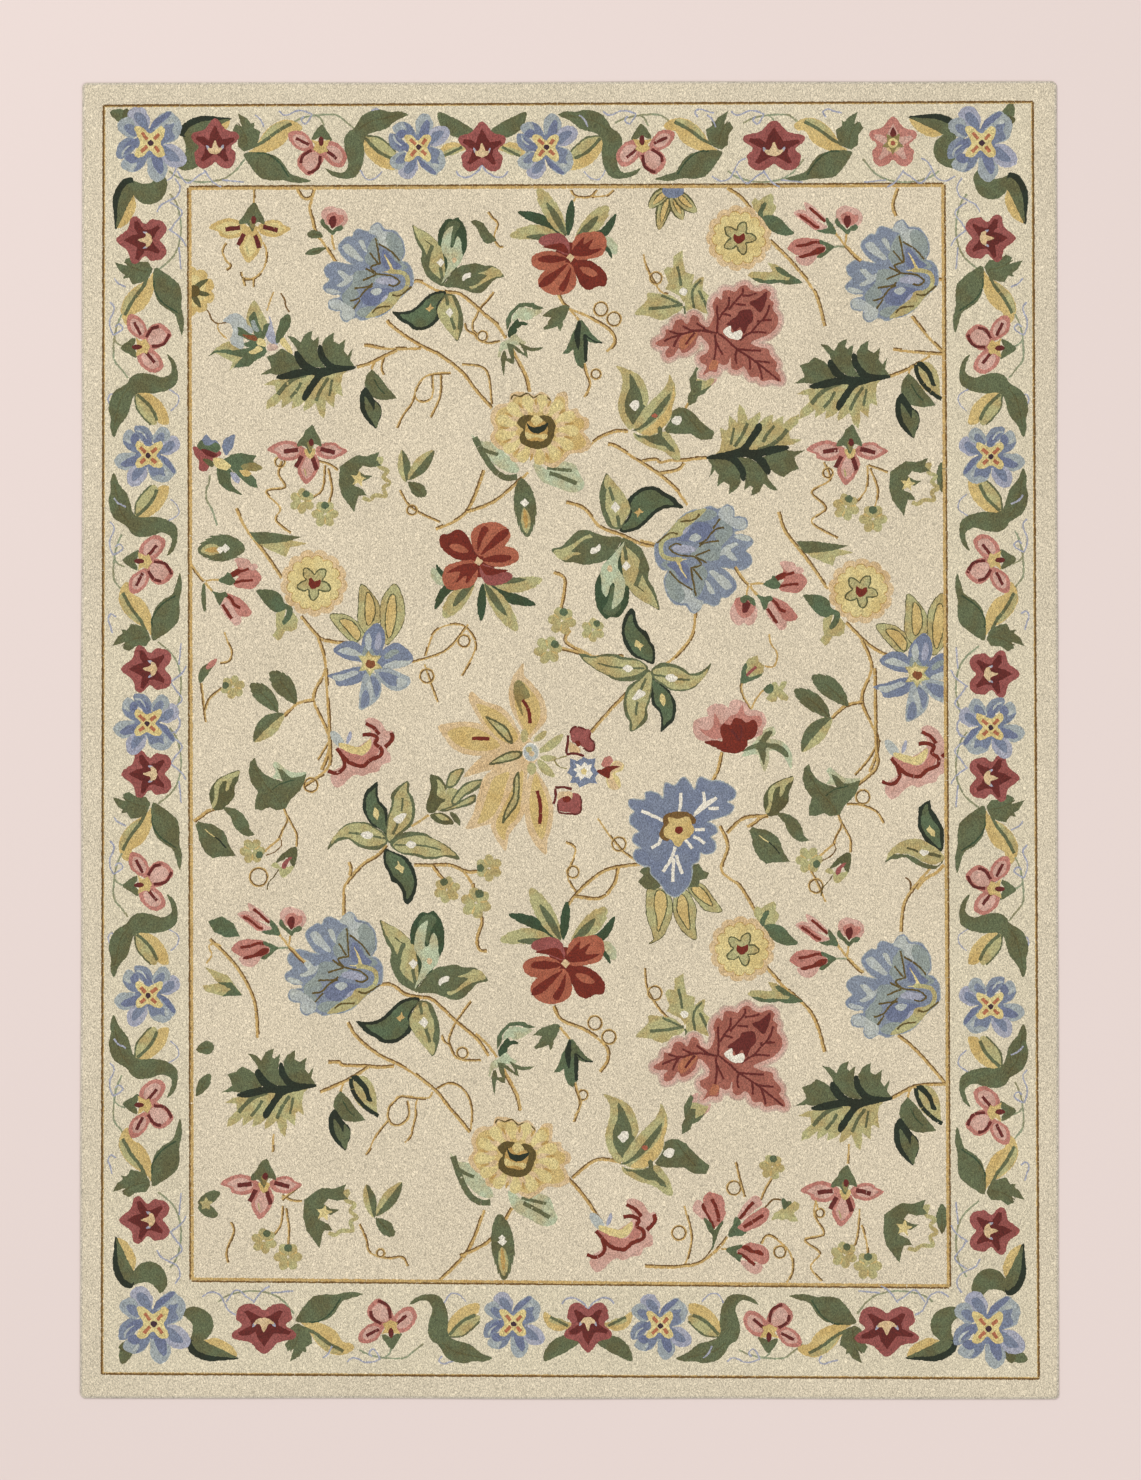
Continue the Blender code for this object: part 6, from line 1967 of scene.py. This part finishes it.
def inside(points, outline):
    """Which points lie inside the outline, by counting crossings."""
    x, y = points[:, 0], points[:, 1]
    found = np.zeros(len(points), bool)
    for (x0, y0), (x1, y1) in zip(outline, np.roll(outline, -1, axis=0)):
        if y0 == y1:
            continue
        crosses = (y0 > y) != (y1 > y)
        found ^= crosses & (x < (x1 - x0) * (y - y0) / (y1 - y0) + x0)
    return found


def distance_to(points, outline):
    """Distance from each point to the nearest stretch of the outline."""
    nearest = np.full(len(points), np.inf)
    for start, end in zip(outline, np.roll(outline, -1, axis=0)):
        way = end - start
        share = np.clip(((points - start) @ way) / max(way @ way, 1e-12), 0, 1)
        gap = points - start - share[:, None] * way
        nearest = np.minimum(nearest, np.hypot(gap[:, 0], gap[:, 1]))
    return nearest


def paint(points, drawn):
    """For each point, the last of the drawn outlines that covers it, or -1."""
    found = np.full(len(points), -1)
    cell = np.floor(points / CELL).astype(int)
    key = cell[:, 1] * CELLS_WIDE + cell[:, 0]
    order = np.argsort(key, kind="stable")
    key = key[order]
    for index, (_, outline) in enumerate(drawn):
        low = np.floor(outline.min(axis=0) / CELL).astype(int)
        high = np.floor(outline.max(axis=0) / CELL).astype(int)
        rows = np.arange(low[1], high[1] + 1) * CELLS_WIDE
        starts = np.searchsorted(key, rows + low[0], "left")
        stops = np.searchsorted(key, rows + high[0], "right")
        near = np.concatenate([order[a:b] for a, b in zip(starts, stops)])
        if len(near):
            found[near[winding(points[near], outline)]] = index
    return found


def winding(points, outline):
    """Which points the outline winds round, also where it crosses itself."""
    x, y = points[:, 0], points[:, 1]
    turns = np.zeros(len(points), int)
    for (x0, y0), (x1, y1) in zip(outline, np.roll(outline, -1, axis=0)):
        if y0 == y1:
            continue
        crosses = (y0 > y) != (y1 > y)
        crosses[crosses] = x[crosses] < (x1 - x0) * (y[crosses] - y0) / (y1 - y0) + x0
        turns[crosses] += 1 if y1 > y0 else -1
    return turns != 0


def loop_grid(step):
    """Loops in staggered, slightly uneven rows over the whole sheet."""
    rows = np.arange(76, 1406, step * 0.866)
    points = []
    for index, down in enumerate(rows):
        across = np.arange(76, 1064, step) + (step / 2 if index % 2 else 0)
        points.append(np.column_stack((across, np.full(len(across), down))))
    points = np.vstack(points)
    return points + RANDOM.uniform(-0.27, 0.27, points.shape) * step


# Making the pile -------------------------------------------------------------

def lay_design():
    """The order in which the outlines are laid over the grounds: field, frames, then border and guard. Returns the
    three lists.
    """
    draw_field()
    field_shapes = list(shapes)
    shapes.clear()
    draw_frames()
    frame_shapes = list(shapes)
    shapes.clear()
    draw_border()
    draw_guard()
    return field_shapes, frame_shapes, list(shapes)


def wobble(outline):
    return outline + RANDOM.uniform(-OUTLINE_WOBBLE, OUTLINE_WOBBLE, outline.shape)


def visible_edges(drawn, yarns):
    """The stretches of outline with a different yarn on each side."""
    starts = np.vstack([outline for _, outline in drawn])
    ends = np.vstack([np.roll(outline, -1, axis=0) for _, outline in drawn])
    way = ends - starts
    length = np.hypot(way[:, 0], way[:, 1])
    normal = np.column_stack((-way[:, 1], way[:, 0])) / np.maximum(length, 1e-6)[:, None]
    middle = (starts + ends) / 2
    sides = [yarns[paint(middle + normal * reach, drawn)] for reach in (-0.2, 0.2)]
    seen = (sides[0] != sides[1]) & (length > 0.02)
    return starts[seen], ends[seen]


def build_pile():
    """Triangles of the whole pile: places in pixels, triangles, and each triangle's yarn."""
    field_shapes, frame_shapes, border_shapes = lay_design()
    rim = to_pixels(rug_outline(0.0004))
    band = to_pixels(rug_outline(0.006))
    grounds = [
        # the rim yarn on the outer strip, greyer than the cream, is painted shade of the rounded edge
        (YARN_NAMES.index("rim"), rim),
        (YARN_NAMES.index("band_cream"), band),
        (YARN_NAMES.index("border_cream"), np.array(GUARD)),
        (YARN_NAMES.index("cream"), np.array(FRAME)),
    ]
    drawn = grounds + [(yarn, wobble(outline)) for yarn, outline in field_shapes + frame_shapes + border_shapes]
    yarns = np.array([yarn for yarn, _ in drawn] + [-1])
    starts, ends = visible_edges(drawn, yarns)
    ends_of = np.vstack((starts, ends))
    outlines, numbers = np.unique(np.round(ends_of, 3), axis=0, return_inverse=True)
    numbers = numbers.ravel()
    edges = np.column_stack((numbers[:len(starts)], numbers[len(starts):]))
    cells = np.floor(outlines / CLEAR_OF_OUTLINE).astype(int)
    taken = np.zeros((PHOTO_HIGH * 2, PHOTO_HIGH * 2), bool)
    taken[cells[:, 1], cells[:, 0]] = True
    blocked = taken.copy()
    for down in (-1, 0, 1):
        for across in (-1, 0, 1):
            blocked |= np.roll(np.roll(taken, down, axis=0), across, axis=1)
    loops = []
    for step, on_motif in ((MOTIF_LOOP, True), (GROUND_LOOP, False)):
        grid = loop_grid(step)
        grid = grid[(paint(grid, drawn) >= len(grounds)) == on_motif]
        cell = np.floor(grid / CLEAR_OF_OUTLINE).astype(int)
        loops.append(grid[~blocked[cell[:, 1], cell[:, 0]]])
    loops = np.vstack(loops)
    loops = loops[inside(loops, rim)]
    near = (loops[:, 0] < 90) | (loops[:, 0] > 1048) | (loops[:, 1] < 92) | (loops[:, 1] > 1388)
    edge = np.full(len(loops), 9.0)
    edge[near] = distance_to(loops[near], rim)
    loops = loops[edge > 0.7]
    # y is turned over so that the triangles face up
    everything = np.vstack((outlines, loops)) * (1, -1)
    verts, _, triangles, _, _, _ = delaunay_2d_cdt(
        [tuple(p) for p in everything.tolist()], [tuple(e) for e in edges.tolist()], [], 0, 0.001)
    places = np.array([(v.x, -v.y) for v in verts])
    triangles = np.array(triangles)
    top = paint(places[triangles].mean(axis=1), drawn)
    keep = top >= 0
    triangles, top = triangles[keep], top[keep]
    print("pile", len(drawn), "outlines", len(edges), "edges", len(places), "loops", len(triangles), "triangles",
          flush=True)
    return places, triangles, yarns[top], len(outlines), rim


def pile_heights(places, triangles, yarn, rim):
    """Each loop a little higher or lower, sunk where two yarns meet, and rounded down at the rim."""
    metres = to_metres(places)
    height = PILE_TOP + RANDOM.normal(0, LOOP_UNEVEN, len(places))
    first = np.full(len(places), -1)
    first[triangles.ravel()] = np.repeat(yarn, 3)
    mixed = np.zeros(len(places), bool)
    for corner in range(3):
        mixed |= np.bincount(triangles[:, corner], first[triangles[:, corner]] != yarn, len(places)) > 0
    height[mixed] -= OUTLINE_SUNK
    near = (places[:, 0] < 92) | (places[:, 0] > 1046) | (places[:, 1] < 94) | (places[:, 1] > 1386)
    gap = np.full(len(places), 1.0)
    gap[near] = distance_to(places[near], rim) * PIXEL
    turn = np.clip(1 - gap / RIM_ROUND, 0, 1)
    height -= RIM_DROP * (1 - np.sqrt(np.clip(1 - turn ** 2, 0, 1)))
    return np.column_stack((metres, height))


def wool(name, drift, share, mottle):
    """Looped wool: the yarn's colour with its dye drift, painted shade in the gaps between loops and painted highlight
    on the loop crowns, and soft sheen.
    """
    material = bpy.data.materials.new(name)
    material.use_nodes = True
    nodes, links = material.node_tree.nodes, material.node_tree.links
    shader = nodes["Principled BSDF"]
    shader.inputs["Roughness"].default_value = 0.92
    shader.inputs["Sheen Weight"].default_value = 0.12
    shader.inputs["Sheen Roughness"].default_value = 0.6
    shader.inputs["Specular IOR Level"].default_value = 0.18
    yarn = nodes.new("ShaderNodeAttribute")
    yarn.attribute_name = "yarn"
    place = nodes.new("ShaderNodeTexCoord")

    def noise(scale, detail, rough=0.5):
        node = nodes.new("ShaderNodeTexNoise")
        node.inputs["Scale"].default_value = scale
        node.inputs["Detail"].default_value = detail
        node.inputs["Roughness"].default_value = rough
        links.new(place.outputs["Object"], node.inputs["Vector"])
        return node

    def ramp(source, low, high, to_low, to_high):
        node = nodes.new("ShaderNodeMapRange")
        for socket, value in (("From Min", low), ("From Max", high), ("To Min", to_low), ("To Max", to_high)):
            node.inputs[socket].default_value = value
        links.new(source, node.inputs["Value"])
        return node.outputs["Result"]

    def mix(kind, factor, a, b):
        node = nodes.new("ShaderNodeMix")
        node.data_type = "RGBA"
        node.blend_type = kind
        for socket, value in ((node.inputs["Factor"], factor), (node.inputs["A"], a), (node.inputs["B"], b)):
            if hasattr(value, "links"):
                links.new(value, socket)
            else:
                socket.default_value = value
        return node.outputs["Result"]

    # loops: stretched cells, pushed about so that the rows wander
    push = noise(60, 2)
    shift = nodes.new("ShaderNodeVectorMath")
    shift.operation = "MULTIPLY_ADD"
    shift.inputs[1].default_value = (0.020, 0.020, 0)
    links.new(push.outputs["Color"], shift.inputs[0])
    links.new(place.outputs["Object"], shift.inputs[2])
    stretch = nodes.new("ShaderNodeVectorMath")
    stretch.operation = "MULTIPLY"
    stretch.inputs[1].default_value = (400, 210, 60)
    links.new(shift.outputs["Vector"], stretch.inputs[0])
    cells = nodes.new("ShaderNodeTexVoronoi")
    cells.feature = "F1"
    cells.inputs["Scale"].default_value = 1.0
    links.new(stretch.outputs["Vector"], cells.inputs["Vector"])
    # painted highlight on the loop crowns and painted shade in the gaps between loops
    painted_loop_light_and_shade = ramp(cells.outputs["Distance"], 0.15, 0.75, 1.22, 0.56)
    fleck = ramp(noise(420, 2).outputs["Fac"], 0.3, 0.7, 1 - mottle, 1 + mottle)
    patch = ramp(noise(16, 4, 0.6).outputs["Fac"], 0.42, 0.62, 0.0, share)
    lot = ramp(noise(3.2, 2).outputs["Fac"], 0.3, 0.7, 0.97, 1.03)
    colour = mix("MULTIPLY", patch, yarn.outputs["Color"], drift)
    for factor in (painted_loop_light_and_shade, fleck, lot):
        colour = mix("MULTIPLY", 1.0, colour, factor)
    links.new(colour, shader.inputs["Base Color"])
    bump = nodes.new("ShaderNodeBump")
    bump.inputs["Strength"].default_value = 0.8
    bump.inputs["Distance"].default_value = 0.002
    bump.invert = True
    links.new(cells.outputs["Distance"], bump.inputs["Height"])
    links.new(bump.outputs["Normal"], shader.inputs["Normal"])
    return material


def canvas_material():
    """Plain woven cotton, with the backs of the hooked rows showing faintly."""
    material = bpy.data.materials.new("canvas")
    material.use_nodes = True
    nodes, links = material.node_tree.nodes, material.node_tree.links
    shader = nodes["Principled BSDF"]
    shader.inputs["Roughness"].default_value = 0.9
    place = nodes.new("ShaderNodeTexCoord")
    waves = []
    for direction in ("X", "Y"):
        wave = nodes.new("ShaderNodeTexWave")
        wave.bands_direction = direction
        wave.inputs["Scale"].default_value = 62
        wave.inputs["Distortion"].default_value = 0.6
        wave.inputs["Detail"].default_value = 1.0
        links.new(place.outputs["Object"], wave.inputs["Vector"])
        waves.append(wave)
    weave = nodes.new("ShaderNodeMath")
    weave.operation = "MULTIPLY"
    links.new(waves[0].outputs["Fac"], weave.inputs[0])
    links.new(waves[1].outputs["Fac"], weave.inputs[1])
    noise = nodes.new("ShaderNodeTexNoise")
    noise.inputs["Scale"].default_value = 9
    noise.inputs["Detail"].default_value = 6
    links.new(place.outputs["Object"], noise.inputs["Vector"])
    both = nodes.new("ShaderNodeMath")
    both.operation = "MULTIPLY_ADD"
    both.inputs[1].default_value = 0.45
    links.new(noise.outputs["Fac"], both.inputs[2])
    links.new(weave.outputs["Value"], both.inputs[0])
    colours = nodes.new("ShaderNodeValToRGB")
    colours.color_ramp.elements[0].position = 0.35
    colours.color_ramp.elements[0].color = (0.36, 0.31, 0.23, 1)
    colours.color_ramp.elements[1].position = 0.95
    colours.color_ramp.elements[1].color = (0.62, 0.56, 0.45, 1)
    links.new(both.outputs["Value"], colours.inputs["Fac"])
    links.new(colours.outputs["Color"], shader.inputs["Base Color"])
    bump = nodes.new("ShaderNodeBump")
    bump.inputs["Strength"].default_value = 0.5
    bump.inputs["Distance"].default_value = 0.001
    links.new(weave.outputs["Value"], bump.inputs["Height"])
    links.new(bump.outputs["Normal"], shader.inputs["Normal"])
    return material


def mesh_piece(name, points, faces, material, colours=None, box=None):
    mesh = bpy.data.meshes.new(name)
    mesh.vertices.add(len(points))
    mesh.vertices.foreach_set("co", np.asarray(points, np.float32).ravel())
    mesh.loops.add(faces.size)
    mesh.loops.foreach_set("vertex_index", faces.astype(np.int32).ravel())
    mesh.polygons.add(len(faces))
    mesh.polygons.foreach_set("loop_start", np.arange(0, faces.size, faces.shape[1], dtype=np.int32))
    mesh.update(calc_edges=True)
    mesh.shade_smooth()
    if colours is not None:
        layer = mesh.attributes.new("yarn", "FLOAT_COLOR", "CORNER")
        layer.data.foreach_set("color", np.repeat(colours, 3, axis=0).astype(np.float32).ravel())
    if box is not None:
        low, high = box
        flat = np.asarray(points)[faces.ravel(), :2]
        chart = mesh.uv_layers.new(name="OFBake")
        chart.uv.foreach_set("vector", ((flat - low) / (high - low)).astype(np.float32).ravel())
    mesh.materials.append(material)
    piece = bpy.data.objects.new(name, mesh)
    bpy.context.scene.collection.objects.link(piece)
    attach(piece, "root")
    return piece


def compact(points, faces):
    used, faces = np.unique(faces, return_inverse=True)
    return points[used], faces.reshape(-1, 3)


def make_pile():
    places, triangles, yarn, _, rim = build_pile()
    points = pile_heights(places, triangles, yarn, rim)
    centres = places[triangles].mean(axis=1)
    in_field = inside(centres, np.array(FRAME) + np.array(((-3, -3), (3, -3), (3, 3), (-3, 3))))
    families = np.array([row[1] for row in YARNS])[yarn]
    colours = np.array([[linear(row[2]), linear(row[3]), linear(row[4]), 1.0] for row in YARNS])[yarn]
    wools = {
        "cream": wool("cream_wool", (0.95, 0.95, 0.93, 1), 0.3, 0.05),
        "gold": wool("gold_wool", (0.86, 0.76, 0.60, 1), 0.6, 0.08),
        "green": wool("green_wool", (0.98, 0.78, 0.66, 1), 0.9, 0.12),
        "blue": wool("blue_wool", (0.86, 0.88, 0.96, 1), 0.8, 0.10),
        "red": wool("red_wool", (0.80, 0.66, 0.62, 1), 0.6, 0.09),
    }
    pieces = []
    low, high = points[:, :2].min(axis=0), points[:, :2].max(axis=0)
    groups = [(f"field_{family}_pile", in_field & (families == family), family) for family in wools]
    border = ~in_field
    groups.append(("border_cream_pile", border & (families == "cream"), "cream"))
    groups.append(("border_green_pile", border & (families == "green"), "green"))
    for family in ("gold", "blue", "red"):
        groups.append((f"border_{family}_pile", border & (families == family), family))
    for name, chosen, family in groups:
        part_points, faces = compact(points, triangles[chosen])
        piece = mesh_piece(name, part_points, faces, wools[family], colours[chosen], (low, high))
        print(name, len(faces), flush=True)
        pieces.append(piece)
    return pieces


def make_canvas():
    """The ground cloth under the pile, with its edge turned up to the first loops."""
    rings = [(0.0006, 0.0), (0.0, 0.0012), (0.0, 0.0040), (0.0006, 0.0043), (0.012, CANVAS_TOP)]
    layers = [np.column_stack((rug_outline(inset), np.full(4 * (STEPS_PER_SIDE + STEPS_PER_CORNER), height)))
              for inset, height in rings]
    count = len(layers[0])
    points = list(np.vstack(layers))
    faces = []
    for ring in range(len(layers) - 1):
        for index in range(count):
            after = (index + 1) % count
            a, b = ring * count + index, ring * count + after
            faces.append((a, b, b + count))
            faces.append((a, b + count, a + count))
    outline = layers[0][:, :2]
    for ring, height, turned in ((0, 0.0, True), (len(layers) - 1, CANVAS_TOP, False)):
        flat = layers[ring][:, :2]
        step = 0.02
        across = np.arange(-1.32, 1.32, step)
        down = np.arange(-1.79, 1.79, step)
        grid = np.array([(x, y) for x in across for y in down])
        grid = grid[(abs(grid[:, 0]) < 1.315) & (abs(grid[:, 1]) < 1.78)]
        verts, _, triangles, origin, _, _ = delaunay_2d_cdt(
            [tuple(p) for p in np.vstack((flat, grid)).tolist()], [], [list(range(count))], 1, 1e-6)
        places = []
        for vert, source in zip(verts, origin):
            if source and min(source) < count:
                places.append(ring * count + min(source))
            else:
                places.append(len(points))
                points.append(np.array((vert.x, vert.y, height)))
        for triangle in triangles:
            corners = [places[k] for k in triangle]
            faces.append(tuple(corners[::-1]) if turned else tuple(corners))
    return mesh_piece("canvas_ground", np.array(points), np.array(faces), canvas_material())


def studio():
    """Camera straight above, a pale floor and soft light from the upper left."""
    lens = 100
    sensor = 36
    data = bpy.data.cameras.new("camera")
    data.lens = lens
    data.sensor_width = sensor
    data.sensor_fit = "AUTO"
    camera = bpy.data.objects.new("camera", data)
    camera.location = ((570.5 - CENTRE_ACROSS) * PIXEL, (CENTRE_DOWN - 740.0) * PIXEL,
                       THICKNESS + PHOTO_HIGH * PIXEL * lens / sensor)
    bpy.context.scene.collection.objects.link(camera)
    bpy.context.scene.camera = camera
    mesh = bpy.data.meshes.new("floor")
    half = 14
    mesh.from_pydata([(-half, -half, 0), (half, -half, 0), (half, half, 0), (-half, half, 0)], [], [(0, 1, 2, 3)])
    floor = bpy.data.objects.new("floor", mesh)
    bpy.context.scene.collection.objects.link(floor)
    paint = bpy.data.materials.new("floor_paint")
    paint.use_nodes = True
    paint.node_tree.nodes["Principled BSDF"].inputs["Base Color"].default_value = (0.66, 0.56, 0.53, 1)
    paint.node_tree.nodes["Principled BSDF"].inputs["Roughness"].default_value = 0.85
    mesh.materials.append(paint)
    for name, place, power, size in (("key", (-7.5, 8.5, 12.5), 1505, 5.0), ("fill", (7.0, -7.0, 12.0), 783, 6.0)):
        light = bpy.data.lights.new(name, "AREA")
        light.energy = power
        light.size = size
        lamp = bpy.data.objects.new(name, light)
        lamp.location = place
        aim = math.atan2(math.hypot(place[0], place[1]), place[2])
        lamp.rotation_euler = (aim, 0, math.atan2(place[1], place[0]) + math.pi / 2)
        bpy.context.scene.collection.objects.link(lamp)
    world = bpy.data.worlds.new("studio")
    world.use_nodes = True
    world.node_tree.nodes["Background"].inputs["Color"].default_value = (1, 0.99, 0.98, 1)
    world.node_tree.nodes["Background"].inputs["Strength"].default_value = 0.60
    bpy.context.scene.world = world
    bpy.context.scene.view_settings.view_transform = "Standard"


studio()
pile = make_pile()
canvas = make_canvas()
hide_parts("hooked_rug")
for piece in pile:
    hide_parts("hooked_rug")
